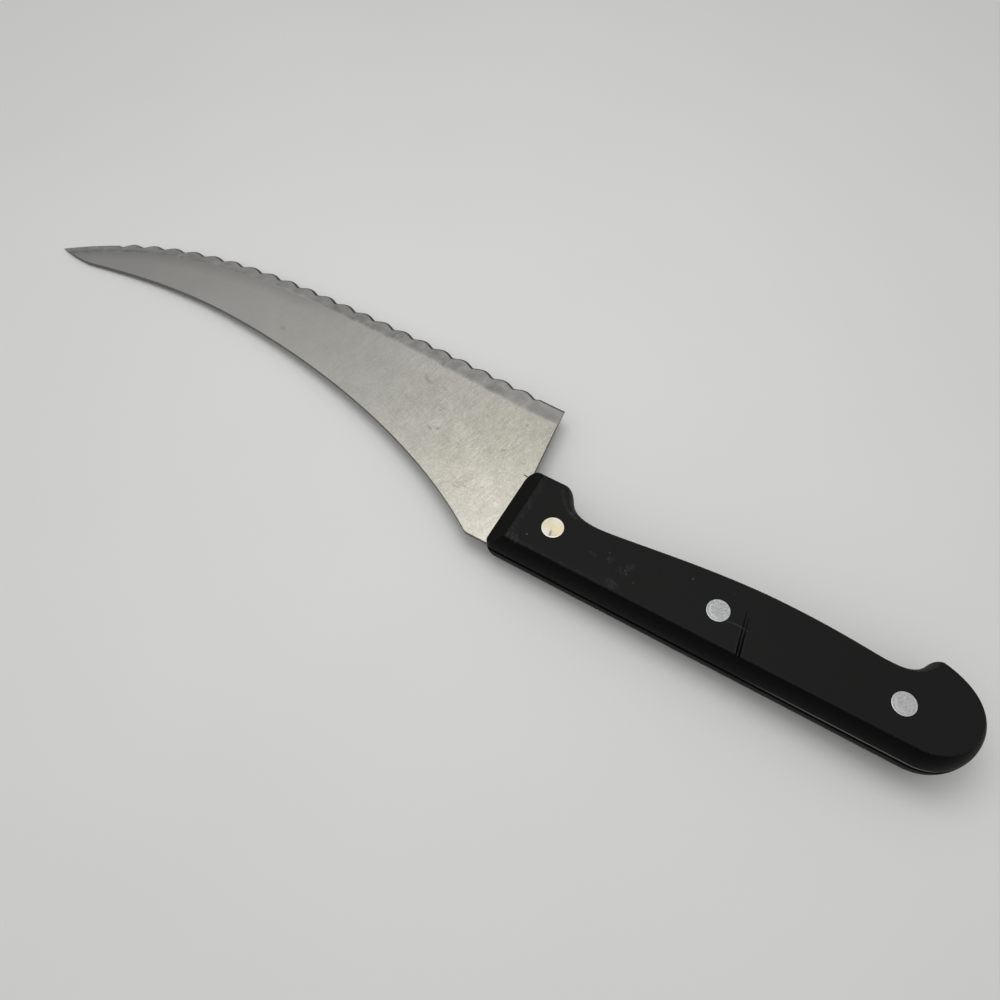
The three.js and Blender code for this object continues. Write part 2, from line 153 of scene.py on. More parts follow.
# Their shape: shares of the length with shares of the width there, and what the cutter needs
SLIT_SHAPE = ((0, 0.2), (0.15, 0.6), (0.35, 0.85), (0.6, 1), (0.85, 1), (1, 0.6))
SLIT_FLOOR_WIDTH = 0.12
SLIT_START_DEPTH = 0.25
SLIT_TOP = 0.3  # above the face
SLIT_TOP_WIDTH = 1.5

# How long each curve holds its direction at its two ends, as shares of the straight distance
FULLNESS = {
    "edge_heel": (0.33, 0.51),
    "edge_tip": (0.385, 0.37),
    "spine_tip": (0.25, 0.45),
    "spine_dip": (0.08, 0.53),
    "spine_arch": (0.16, 0.39),
    "butt": (0.22, 0.59),
    "hook": (0.54, 0.26),
    "dip": (0.08, 0.56),
    "belly": (0.4, 0.13),
    "recess": (0.63, 0.26),
}

# Facets
ROUND_STEPS = 20
CURVE_STEPS = 48
BUTT_STEPS = 40
SPINE_STEPS = 90
EDGE_STEPS = 900
CROWN_STEPS = 14
FILLET_STEPS = 5
RIVET_STEPS = 64
CUT_OVERRUN = 3
CUT_LIFT = 0.004  # raises the end of a rounded cut just above the face
WELD_DISTANCE = 0.002
BROAD_FACE_WEIGHT = 100
BLADE_SHARP_ANGLE = 6
SCALE_SHARP_ANGLE = 28
RIVET_SHARP_ANGLE = 30

HALF_BLADE = BLADE_THICKNESS / 2
SCALLOP_TOP = math.hypot(1, NOTCH_ROUND) - NOTCH_ROUND
HALF_RISE = SCALLOP_TOP / 2 + NOTCH_ROUND
RUN_OUT = math.asin(math.sqrt(HALF_RISE ** 2 - NOTCH_ROUND ** 2)) / math.pi
LIP_HEIGHT = SEAM_WIDTH / 2
FACE_HEIGHT = LIP_HEIGHT + SCALE_THICKNESS
HEAD_TOP = FACE_HEIGHT - HEAD_SINK
TANG_END = FRONT_RIVET_AT + (RIVET_COUNT - 1) * RIVET_SPACING + TANG_TAIL
HEEL_SLOPE = math.tan(math.radians(HEEL_LEAN))
RIVET_PLACES = [FRONT_RIVET_AT + index * RIVET_SPACING for index in range(RIVET_COUNT)]

# The datum in the frame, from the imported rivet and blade
rivet_low, rivet_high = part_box("front_rivet_post")
blade_low, blade_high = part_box("blade")
DATUM = np.array((
    (rivet_low.x + rivet_high.x) / 2 / MM - FRONT_RIVET_AT,
    (rivet_low.y + rivet_high.y) / 2 / MM,
    (blade_low.z + blade_high.z) / 2 / MM,
))

# Camera, in the datum, and the table, which the blade's tip and the left scale's front touch
CAMERA_AT = (63.62, -95.51, 209.99)
CAMERA_AIM = (-0.2759, 0.4107, -0.869)
CAMERA_UP = (-0.4304, 0.7556, 0.4937)
CAMERA_LENS = 32.04
SENSOR_WIDTH = 36
CLIP_DISTANCES = (0.01, 20)  # metres
TABLE_REACH = 1600

# The ceiling panel, and the room: how bright it is from the table's level to straight overhead, as
# (place, red and green, blue), on the side that the camera looks to and on the side behind it
PANEL_AT = (-24, 34, 320)
PANEL_AIM = (-24, 34, 0)
PANEL_SIZE = (200, 150)
PANEL_STRENGTH = 3.1
PANEL_COLOUR = (1, 0.99, 0.97)
FAR_SIDE = (
    (0, 0.20, 0.20),
    (0.2, 0.24, 0.24),
    (0.42, 0.26, 0.26),
    (0.62, 0.34, 0.34),
    (0.75, 0.62, 0.615),
    (0.85, 0.85, 0.84),
    (0.92, 0.90, 0.89),
    (1, 1, 0.99),
)
NEAR_SIDE = (
    (0, 0.06, 0.06),
    (0.18, 0.10, 0.10),
    (0.42, 0.40, 0.395),
    (0.7, 0.80, 0.79),
    (0.85, 0.95, 0.94),
    (1, 1, 0.99),
)


def placed(points):
    """Points in the datum as points in the frame's metres."""
    return (np.atleast_2d(np.array(points, float)) + DATUM) * MM


# Curves in the plane of the blade


def heading(degrees):
    """A unit step in the given direction."""
    angle = math.radians(degrees)
    return np.array((math.cos(angle), math.sin(angle)))


def cubic(start, leave, reach, end, t):
    """Points on a curve that holds its direction at both ends."""
    return (1 - t) ** 3 * start + 3 * t * (1 - t) ** 2 * leave + 3 * t ** 2 * (1 - t) * reach + t ** 3 * end


def fair_curve(start, start_heading, end, end_heading, name, steps=CURVE_STEPS):
    """Points on a curve that leaves one point and nears another in given directions."""
    start = np.array(start, float)
    end = np.array(end, float)
    distance = np.linalg.norm(end - start)
    leave_share, reach_share = FULLNESS[name]
    leave = start + heading(start_heading) * leave_share * distance
    reach = end - heading(end_heading) * reach_share * distance
    return cubic(start, leave, reach, end, (np.arange(steps) / steps)[:, None])


def corner(x, y, radius, from_degrees, to_degrees, steps=ROUND_STEPS):
    """Points on a rounded corner about a centre, both ends included."""
    angles = np.radians(np.linspace(from_degrees, to_degrees, steps + 1))
    return np.stack((x + radius * np.cos(angles), y + radius * np.sin(angles)), axis=1)


def quick_bend(start, control, end, steps):
    """Points on a bend between two straight lines that meet at the control point."""
    t = np.linspace(0, 1, steps + 1)[:, None]
    start, control, end = (np.array(point, float) for point in (start, control, end))
    return (1 - t) ** 2 * start + 2 * t * (1 - t) * control + t ** 2 * end


def inset(points, distance):
    """A closed outline that turns left, moved inwards."""
    before = points - np.roll(points, 1, axis=0)
    after = np.roll(points, -1, axis=0) - points
    before = before / np.linalg.norm(before, axis=1)[:, None]
    after = after / np.linalg.norm(after, axis=1)[:, None]
    normal_before = np.stack((-before[:, 1], before[:, 0]), axis=1)
    normal_after = np.stack((-after[:, 1], after[:, 0]), axis=1)
    meeting = 1 + (normal_before * normal_after).sum(axis=1)
    return points + distance * (normal_before + normal_after) / meeting[:, None]


def at_height(points, height):
    """Plane points lifted to a height."""
    return np.column_stack((points, np.full(len(points), height)))


# Meshes


def new_piece(name, data):
    """A mesh, a curve, a lamp or a lens as an object of the scene."""
    piece = bpy.data.objects.new(name, data)
    bpy.context.scene.collection.objects.link(piece)
    return piece


def lofted(name, rings, cap_zone=0, wall_zone=0):
    """A closed piece through rings that turn left seen from above and rise, capped at both ends.

    The zones are kept on the faces, so that a finish can be chosen for each.
    """
    work = bmesh.new()
    zone = work.faces.layers.int.new("zone")
    rows = [[work.verts.new(point) for point in placed(ring)] for ring in rings]
    for lower, upper in zip(rows, rows[1:]):
        for here in range(len(lower)):
            after = (here + 1) % len(lower)
            face = work.faces.new((lower[here], lower[after], upper[after], upper[here]))
            face[zone] = wall_zone
    for cap in (rows[0][::-1], rows[-1]):
        work.faces.new(cap)[zone] = cap_zone
    mesh = bpy.data.meshes.new(name)
    work.to_mesh(mesh)
    work.free()
    return new_piece(name, mesh)


def settled(piece):
    """The piece as its modifiers leave it, with the modifiers gone."""
    depsgraph = bpy.context.evaluated_depsgraph_get()
    mesh = bpy.data.meshes.new_from_object(piece.evaluated_get(depsgraph))
    mesh.name = piece.name
    piece.modifiers.clear()
    piece.data = mesh
    return piece


def discarded(pieces):
    """Take cutters and paths out of the scene."""
    for piece in pieces:
        bpy.data.objects.remove(piece)


def cut(piece, cutters):
    """Take the cutters away from the piece."""
    for cutter in cutters:
        modifier = piece.modifiers.new(cutter.name, "BOOLEAN")
        modifier.operation = "DIFFERENCE"
        modifier.solver = "MANIFOLD"
        modifier.object = cutter
    settled(piece)
    discarded(cutters)
    return piece


def smoothed(piece, sharp_degrees):
    """Smooth shading between sharp corners, with broad flat faces kept flat."""
    work = bmesh.new()
    work.from_mesh(piece.data)
    bmesh.ops.remove_doubles(work, verts=work.verts, dist=WELD_DISTANCE * MM)
    bmesh.ops.dissolve_degenerate(work, edges=work.edges, dist=WELD_DISTANCE * MM)
    work.to_mesh(piece.data)
    work.free()
    piece.data.shade_smooth()
    piece.data.set_sharp_from_angle(angle=math.radians(sharp_degrees))
    modifier = piece.modifiers.new("broad_faces", "WEIGHTED_NORMAL")
    modifier.keep_sharp = True
    modifier.weight = BROAD_FACE_WEIGHT
    return settled(piece)


def round_rod(name, x, steps):
    """A closed solid turned about the Z axis at x, through [radius, height] steps that rise."""
    rings = []
    for radius, height in steps:
        circle = corner(x, 0, radius, 0, 360, RIVET_STEPS)[:-1]
        rings.append(at_height(circle, height))
    return lofted(name, rings)


# Node trees


def sum_node(operation, swapped=False):
    """A method of Value that adds the node of a sum."""
    def add(self, other):
        values = (other, self) if swapped else (self, other)
        return self.tree.math(operation, *values)
    return add


class Value:
    """A socket of a node tree that takes part in sums as a number does."""

    def __init__(self, tree, socket):
        self.tree = tree
        self.socket = socket

    __add__ = sum_node("ADD")
    __radd__ = sum_node("ADD", True)
    __sub__ = sum_node("SUBTRACT")
    __rsub__ = sum_node("SUBTRACT", True)
    __mul__ = sum_node("MULTIPLY")
    __rmul__ = sum_node("MULTIPLY", True)
    __truediv__ = sum_node("DIVIDE")
    __pow__ = sum_node("POWER")
    __gt__ = sum_node("GREATER_THAN")
    __lt__ = sum_node("LESS_THAN")

    def __neg__(self):
        return self * -1

    def __abs__(self):
        return self.math("ABSOLUTE")

    def math(self, operation, *others):
        return self.tree.math(operation, self, *others)

    def other(self, output):
        """Another output of the same node."""
        return Value(self.tree, self.socket.node.outputs[output])

    def parts(self):
        """The three numbers of a vector."""
        first = self.tree.node("ShaderNodeSeparateXYZ", {0: self})
        return first, first.other(1), first.other(2)

    def ramp(self, low, high, to_low=0.0, to_high=1.0):
        """A range of the value made another range, with soft ends."""
        inputs = {0: self, 1: low, 2: high, 3: to_low, 4: to_high}
        return self.tree.node("ShaderNodeMapRange", inputs, interpolation_type="SMOOTHSTEP")

    def window(self, start, full, fall, end):
        """1 between the two middle limits, and 0 outside the outer two."""
        return self.ramp(start, full) * self.ramp(end, fall)

    def blend(self, first, second):
        """From the first colour to the second; the node keeps the share between 0 and 1."""
        first, second = (end if isinstance(end, Value) else (*end, 1) for end in (first, second))
        return self.tree.node("ShaderNodeMix", {0: self, 6: first, 7: second}, 2, data_type="RGBA")

    def noise(self, scale=1.0, detail=2.0, roughness=0.5):
        """A noise over coordinates."""
        inputs = {"Vector": self, "Scale": scale, "Detail": detail, "Roughness": roughness}
        return self.tree.node("ShaderNodeTexNoise", inputs)

    def grain(self, scale, turn_degrees=0.0, detail=2.0, roughness=0.5, shift=(0, 0, 0)):
        """A noise over coordinates that are turned in the blade's plane and then scaled."""
        turn = (0, 0, math.radians(turn_degrees))
        turned = self.tree.node("ShaderNodeMapping", {"Vector": self, "Rotation": turn, "Location": shift})
        scaled = self.tree.node("ShaderNodeMapping", {"Vector": turned, "Scale": scale})
        return scaled.noise(1.0, detail, roughness)


class Tree:
    """Adds nodes to a shader tree or a geometry tree."""

    def __init__(self, nodes):
        self.tree = nodes

    def node(self, kind, inputs=None, output=0, **settings):
        """One node: its settings first, then the values or links of its sockets."""
        made = self.tree.nodes.new(kind)
        for name, value in settings.items():
            setattr(made, name, value)
        for key, value in (inputs or {}).items():
            if isinstance(value, Value):
                self.tree.links.new(value.socket, made.inputs[key])
            else:
                made.inputs[key].default_value = value
        return Value(self, made.outputs[output]) if made.outputs else None

    def math(self, operation, *values):
        return self.node("ShaderNodeMath", dict(enumerate(values)), operation=operation)

    def vector(self, x, y, z):
        return self.node("ShaderNodeCombineXYZ", {0: x, 1: y, 2: z})


# Finishes

# Shader settings that do not vary over a finish
METAL = {"Metallic": 1.0}
MATT_PLASTIC = {"Specular IOR Level": 0.05}
MATT_TABLE = {"Specular IOR Level": 0.25}
CORNER_SAMPLES = 6

# Each finish's bump, the radius of its softened corners and its settings
FINISHES = {
    "brushed_steel": (0.004, 0.2, METAL),
    "ground_steel": (0.006, 0.2, METAL),
    "sheared_steel": (0.01, 0, METAL),
    "edge_steel": (0.005, 0, METAL),
    "black_plastic": (0.012, 0.1, MATT_PLASTIC),
    "rivet_aluminium": (0.01, 0.05, METAL),
    "pale_table": (0.01, 0, MATT_TABLE),
}

# Steel: colours
STEEL_DARKS = ((0.345, 0.338, 0.314), (0.345, 0.332, 0.293))
STEEL_LIGHTS = ((0.67, 0.657, 0.612), (0.67, 0.644, 0.568))
YELLOW_STEEL = (0.49, 0.475, 0.385)
BLUE_STEEL = (0.46, 0.48, 0.485)
# painted shade: these two greys darken the steel step by step towards the tip, in place of its reflection
# growing dimmer along the blade
TIPWARD_SHADE_STEEL = (0.48, 0.478, 0.465)
TIP_SHADE_STEEL = (0.385, 0.38, 0.37)
# painted shade of a slight hollow near the edge in the tip half, on the face and on the grind
HOLLOW_SHADE_STEEL = (0.12, 0.12, 0.118)
# painted sheen: a pale steel laid over the rubbed band inside the grind
RUBBED_SHEEN_STEEL = (0.80, 0.79, 0.76)
# painted shade: the steel near the neck darkened towards the spine
NECK_SHADE_STEEL = (0.32, 0.31, 0.285)
MARK_COLOUR = (0.12, 0.115, 0.105)
# painted shade: near black where a nick's notch would lie in shade
NICK_SHADE_COLOUR = (0.03, 0.03, 0.03)
GRIND_COLOURS = ((0.34, 0.337, 0.322), (0.60, 0.593, 0.565))
GRIND_PALE = (0.64, 0.63, 0.60)
GRIND_STAIN = (0.2, 0.2, 0.195)
RIM_COLOURS = ((0.10, 0.099, 0.094), (0.22, 0.217, 0.206))
EDGE_COLOURS = ((0.045, 0.045, 0.044), (0.10, 0.099, 0.096))

BRUSH_TURN = 14  # the brushing leans a little from square
EDGE_FIT_POWER = 5  # of the sum of powers that follows the scallops' middle line

# Marks: place, reach along and across, turn in degrees, and strength where it is not 1
STEEL_MARKS = (
    ((-36.2, 27.7), (1.5, 0.7), -14, 0.5),
    ((-32.4, 13.9), (1.5, 0.45), -19),
    ((-30.2, 14.8), (0.9, 0.4), 56),
    ((-8.6, 28.1), (0.7, 0.5), 0, 0.7),
    ((-10.1, 17.8), (0.9, 0.4), 29, 0.7),
    ((-91.8, 22.7), (1.2, 1.0), 0, 0.45),
)
BOW_MIDDLE = (-41, 30.2)
BOW_RADIUS = 2.6
BOW_PART = ((-42.3, 28.2), (2.6, 2.0), -40, 0.7)
SCORED_PATCH = ((-31.7, 20.3), (7.0, 2.4), -8, 0.8)
NECK_SMUDGE = ((-15.4, 2.1), (4.5, 1.6), 20, 0.8)
# a nick by the guard corner, painted black as the shade in it
NICK = ((-0.5, 13.5), (1.0, 0.22), -6, 1.5)
GRIND_STAINS = (
    ((-120.6, 34.2), (2.2, 1.8)),
    ((-22.8, 34.8), (4.6, 2.2), 5),
    ((-6.4, 34.2), (7.0, 2.6), -2, 0.7),
)
SCUFFS = (
    ((13.7, 9.0), (3.6, 0.9), -52),
    ((17.8, 5.8), (3.2, 0.8), -18),
    ((27.6, -1.6), (1.6, 0.6), -12),
    ((32.1, -1.0), (1.3, 1.1), 30),
    ((37.3, -0.4), (1.9, 1.1), 60),
    ((35.4, -6.6), (2.4, 1.6), -10, 0.6),
    ((110.0, 13.5), (3.0, 2.0), 60),
)
CRUMBLED_SPOTS = (
    ((36.6, -2.3), (2.3, 1.4), 10),
    ((35.2, -6.8), (2.2, 1.4), -10, 0.6),
)
SPECKS = (
    ((10.4, -5.0), (0.32, 0.28)),
    ((31.2, 0.8), (0.3, 0.3), 0, 0.35),
    ((40.0, -3.8), (0.35, 0.3), 0, 0.25),
    ((52.3, 4.5), (0.35, 0.3), 0, 0.5),
    ((62.7, 5.8), (0.9, 0.3), 10, 0.06),
)
STRIPED_CORNER = ((7.8, -7.4), (2.7, 1.4), -8, 0.7)

# Plastic: colours, where it is worn, and the painted light on its flat face and lip
PLASTIC_COLOURS = ((0.0022, 0.0022, 0.0023), (0.0034, 0.0034, 0.0033))
# painted light: the flat face is lighter than the sides, as the light falls on it from above
PLASTIC_LIT_FACE = (0.0125, 0.0125, 0.0124)
PLASTIC_WORN = (0.036, 0.036, 0.0365)
PLASTIC_SPECK = (0.11, 0.11, 0.108)
# painted highlight along the scale's lip
PLASTIC_LIP_HIGHLIGHT = (0.16, 0.157, 0.15)
RIGHT_FACE = (FACE_HEIGHT - 2.5, FACE_HEIGHT - 1)
BURR_WIDTH = 0.3
BEVEL_WEAR_AT = 6.6
RIDGE_WEAR_AT = -7.7
# height of the painted lip highlight
LIP_HIGHLIGHT_HEIGHT = LIP_HEIGHT + 0.3
HAIRLINE_TOP = (66.9, -1.25)
HAIRLINE_BOW = 0.055

# Rivets: colours, and the front rivet's stain with its patches' place, reach, turn and colour
RIVET_COLOURS = ((0.25, 0.256, 0.264), (0.44, 0.45, 0.459))
REAR_COLOURS = ((0.37, 0.368, 0.376), (0.545, 0.54, 0.55))
CREAM_COLOURS = ((0.48, 0.42, 0.33), (0.56, 0.47, 0.36))
# painted highlight on the front rivet's rim
CREAM_RIM_HIGHLIGHT = (0.68, 0.66, 0.60)
YELLOW_STAIN = (0.62, 0.54, 0.36)
GREEN_STAIN = (0.55, 0.52, 0.4)
PALE_STAIN = (0.6, 0.56, 0.48)
DARK_STAIN = (0.22, 0.23, 0.22)
FRONT_RIVET_STAINS = (
    ((-1.5, 0), (2.2, 2), 0, GREEN_STAIN),
    ((0.5, 1.8), (2.4, 1.6), 0, PALE_STAIN),
    ((1.5, 0), (2, 1.8), 0, YELLOW_STAIN),
    ((-1, -1.9), (1.8, 1.5), 0, PALE_STAIN),
    ((0.3, -1.9), (0.45, 1.3), 14, DARK_STAIN),
)
PRESSED_RADIUS = 2.05

TABLE_COLOURS = ((0.715, 0.72, 0.715), (0.77, 0.775, 0.765))
TABLE_ROUGHNESS = 0.75


def finished(make):
    """A material named after the function that makes its colour, roughness and bump for a place."""
    bump, radius, fixed = FINISHES[make.__name__]
    material = bpy.data.materials.new(make.__name__)
    material.use_nodes = True
    material.node_tree.nodes.clear()
    tree = Tree(material.node_tree)
    place = tree.node("ShaderNodeTexCoord", output="Object")
    inputs = {"Vector": place, "Scale": (1 / MM, 1 / MM, 1 / MM), "Location": tuple(-DATUM)}
    colour, roughness, height = make(tree.node("ShaderNodeMapping", inputs))
    inputs = {"Height": height, "Strength": 1.0, "Distance": bump * MM}
    if radius:
        inputs["Normal"] = tree.node("ShaderNodeBevel", {"Radius": radius * MM}, samples=CORNER_SAMPLES)
    normal = tree.node("ShaderNodeBump", inputs)
    inputs = {"Base Color": colour, "Roughness": roughness, "Normal": normal, **fixed}
    shader = tree.node("ShaderNodeBsdfPrincipled", inputs)
    tree.node("ShaderNodeOutputMaterial", {"Surface": shader})
    return material


def swing(noise, amount):
    """A noise as a change about zero."""
    return (noise - 0.5) * amount


def away_from(x, y, at):
    """How far a place lies from a point."""
    off_x = x - at[0]
    off_y = y - at[1]
    return (off_x * off_x + off_y * off_y) ** 0.5


def spot(x, y, at, reach, turn_degrees=0, strength=1):
    """An oval mark: as strong as it gets in its middle, and 0 past its reach."""
    turn = heading(turn_degrees)
    off_x = x - at[0]
    off_y = y - at[1]
    along = (off_x * turn[0] + off_y * turn[1]) / reach[0]
    across = (off_y * turn[0] - off_x * turn[1]) / reach[1]
    return (along * along + across * across).ramp(1, 0, 0, strength)


def spots(x, y, marks):
    """The strongest of several oval marks."""
    return most([spot(x, y, *mark) for mark in marks])


def line_parts(x, y, start, end):
    """How far along a straight line a place lies, and how far to its side."""
    run = np.subtract(end, start)
    ahead_x, ahead_y = (float(part) for part in run / np.linalg.norm(run))
    off_x = x - start[0]
    off_y = y - start[1]
    return off_x * ahead_x + off_y * ahead_y, off_y * ahead_x - off_x * ahead_y


def most(values):
    """The largest of several masks."""
    result = values[0]
    for value in values[1:]:
        result = result.math("MAXIMUM", value)
    return result


def layered(colour, layers):
    """A colour under others, each laid over it through its mask."""
    for mask, over in layers:
        colour = mask.blend(colour, over)
    return colour


def from_edge(x, y):
    """How far a place on the blade lies inside the middle line of the scallops."""
    first, *others = np.polyfit(*edge_points(CURVE_STEPS).T, EDGE_FIT_POWER)
    edge = float(first)
    for factor in others:
        edge = x * edge + float(factor)
    return edge - y


def brushed_steel(at):
    """Satin sheet, brushed across the blade, with scratches, smudges and a few dark marks; painted shade
    darkens it towards the tip, in a hollow band near the edge, at the neck and in a nick, and a painted
    sheen lightens the rubbed band.
    """
    x, y, _ = at.parts()
    fine = at.grain((4.5, 0.4, 1), BRUSH_TURN, 4, 0.65)
    broad = at.grain((1.3, 0.14, 1), BRUSH_TURN - 6, 3)
    streaks = at.grain((2.9, 0.32, 1), BRUSH_TURN)
    scored = at.grain((0.5, 3.4, 1), -8)
    hue = at.grain((0.2, 0.2, 0.2), 40, shift=(31, 7, 0))
    speckle = at.noise(2.2, 4, 0.8)
    cloud = at.noise(0.09, 4, 0.6)
    smudge = at.noise(0.27, 4, 0.65)
    clusters = at.noise(0.13, 2).ramp(0.44, 0.62)
    rough = x.ramp(-100, -15)
    inside = from_edge(x, y)
    # the rubbed band: its scratches are real wear, and its lighter colour below is a painted sheen
    rubbed = inside.ramp(14, 7) * x.window(-75, -50, -24, -8)
    scratches = swing(streaks, most([0.15 + 0.6 * clusters, rubbed * 0.85])) * rough
    tone = 0.5 + swing(fine, 0.25 + 0.18 * rough) + swing(broad, 0.15)
    tone = tone + scratches * 1.6 + swing(speckle, 0.6 + 1.4 * rough)
    tone = tone + swing(cloud, 0.35) + swing(smudge, 0.7) * rough
    warm = x.ramp(-55, -15)
    dark = warm.blend(*STEEL_DARKS)
    light = warm.blend(*STEEL_LIGHTS)
    bow = abs(away_from(x, y, BOW_MIDDLE) - BOW_RADIUS)
    marks = most([
        spots(x, y, STEEL_MARKS),
        spot(x, y, *BOW_PART) * bow.ramp(1, 0.1),
        spot(x, y, *SCORED_PATCH) * scored.ramp(0.52, 0.66),
        spot(x, y, *NECK_SMUDGE) * scored.ramp(0.46, 0.62),
    ])
    metal = layered(tone.blend(dark, light), (
        (hue.ramp(0.52, 0.70) * rough * 0.3, YELLOW_STEEL),
        (hue.ramp(0.46, 0.30) * rough * 0.1, BLUE_STEEL),
        # painted shade: the steel darkened towards the tip
        (x.ramp(-20, -150) * 0.6, TIPWARD_SHADE_STEEL),
        (x.ramp(-105, -165) * 0.6, TIP_SHADE_STEEL),
        # painted shade of a hollow band near the edge, in the tip half
        (inside.ramp(9.5, 3.8) * x.ramp(-70, -98) * 0.26, HOLLOW_SHADE_STEEL),
        # painted sheen over the rubbed band
        (rubbed * 0.12, RUBBED_SHEEN_STEEL),
        # painted shade near the neck
        (y.ramp(6, -6) * 0.2, NECK_SHADE_STEEL),
        (marks * 0.45, MARK_COLOUR),
        # painted shade of the nick
        (spot(x, y, *NICK), NICK_SHADE_COLOUR),
    ))
    roughness = 0.36 + swing(fine, 0.16) + swing(cloud, 0.08) + marks * 0.1
    height = fine * 0.45 + scratches * 0.6 + speckle * 0.3
    return metal, roughness, height


def ground_steel(at):
    """The scalloped grind: lines square to the edge, duller and stained towards the heel, with painted
    shade on its inner part towards the tip.
    """
    x, y, _ = at.parts()
    lines = at.grain((4, 0.5, 1), 8, 3, 0.6)
    cloud = at.noise(0.3, 4, 0.6)
    tone = 0.5 + swing(lines, 1.3) + swing(cloud, 1.8)
    paler = most([x.ramp(-45, -8) * 0.6, x.window(-140, -120, -95, -80)])
    stained = spots(x, y, GRIND_STAINS) * cloud.ramp(0.3, 0.7)
    # painted shade of a hollow on the grind's inner part, towards the tip
    hollow_shade = x.ramp(-62, -82) * 0.19 + x.ramp(-100, -125) * 0.11
    metal = layered(tone.blend(*GRIND_COLOURS), (
        (paler * 0.4, GRIND_PALE),
        (stained * 0.6, GRIND_STAIN),
        (hollow_shade * from_edge(x, y).ramp(2.9, 3.9), HOLLOW_SHADE_STEEL),
    ))
    return metal, 0.46 + swing(lines, 0.18), lines


def sheared_steel(at):
    """The blade's stamped rim: rough, duller metal with marks through the sheet's thickness."""
    grain = at.grain((3, 3, 0.5), detail=3)
    metal = grain.blend(*RIM_COLOURS)
    return metal, 0.46 + swing(grain, 0.2), grain


def edge_steel(at):
    """The narrow bevel that makes the cutting edge."""
    grain = at.grain((6, 0.8, 0.8))
    metal = grain.blend(*EDGE_COLOURS)
    return metal, 0.36 + swing(grain, 0.15), grain


def black_plastic(at):
    """Matt moulded plastic with a fine texture, worn corners, scuffs and light specks; its flat face is
    painted lighter than the sides, and a highlight is painted along the lip.
    """
    x, y, z = at.parts()
    texture = at.noise(2.6, 3, 0.6)
    pores = at.noise(9, 2)
    cloud = at.noise(0.12, 3)
    breaks = at.noise(1.1, 5, 0.75)
    broken = breaks.ramp(0.40, 0.60)
    crumbs = at.noise(3, 2, 0.6).ramp(0.50, 0.66)
    stripes = at.grain((3, 0.4, 0.4), 12).ramp(0.46, 0.58)
    on_right = z.ramp(*RIGHT_FACE)
    depth = FACE_HEIGHT - abs(z)
    rubbed = 0.1 + 0.9 * at.noise(1.4, 4, 0.7).ramp(0.46, 0.62)
    rubbed = rubbed * (0.3 + 0.7 * at.noise(0.28, 2).ramp(0.44, 0.58)) * on_right
    off_bevel = abs(x - BEVEL_WEAR_AT + swing(breaks, 2.2))
    bevel_wear = off_bevel.ramp(1.5, 0) * y.window(-8.6, -7.6, 8, 13)
    off_ridge = abs(y - RIDGE_WEAR_AT + swing(breaks, 1.2))
    ridge_wear = off_ridge.ramp(0.9, 0) * x.window(5, 7, 10, 50)
    striped = spot(x, y, *STRIPED_CORNER) * stripes * on_right
    worn = [
        spots(x, y, SCUFFS) * broken * on_right * 0.8,
        bevel_wear * rubbed * 0.8,
        ridge_wear * rubbed * 0.8,
        depth.window(0, 0.05, 0.2, 0.5) * broken * 0.3,
        striped,
    ]
    for start, end, width, _ in CUTS:
        along, across = line_parts(x, y, start, end)
        beside = abs(across).ramp(width / 2 + BURR_WIDTH, width / 2)
        burr = beside * along.ramp(4, 6.5) * depth.ramp(0.12, 0.04)
        worn.append(burr * on_right * 0.6)
    worn = most(worn)
    crumbled = spots(x, y, CRUMBLED_SPOTS) * crumbs * on_right
    # painted highlight: a bright line along the right scale's lip, towards the butt
    lip = abs(z - LIP_HIGHLIGHT_HEIGHT)
    lip = lip.ramp(0.45, 0.3) * y.ramp(-7.6, -8.6) * x.window(68, 92, 117, 121)
    from_top = x - HAIRLINE_TOP[0]
    hairline = y - (HAIRLINE_TOP[1] - HAIRLINE_BOW * from_top * from_top)
    hairline = abs(hairline).ramp(0.11, 0.03)
    hairline = hairline * x.window(63.6, 64.2, 69.2, 70) * on_right
    specks = spots(x, y, SPECKS) * on_right
    colour = layered(cloud.blend(*PLASTIC_COLOURS), (
        # painted light on the flat face
        (depth.ramp(0.3, 0.1), PLASTIC_LIT_FACE),
        (worn, PLASTIC_WORN),
        (specks + hairline * 0.4 + crumbled * 0.5 + striped * 0.15, PLASTIC_SPECK),
        # painted lip highlight
        (lip, PLASTIC_LIP_HIGHLIGHT),
    ))
    roughness = 0.50 + swing(texture, 0.2) + swing(cloud, 0.1) + worn * 0.12
    height = texture * 0.7 + pores * 0.3 + worn * breaks * 2 - (crumbled + striped) * 2
    return colour, roughness, height


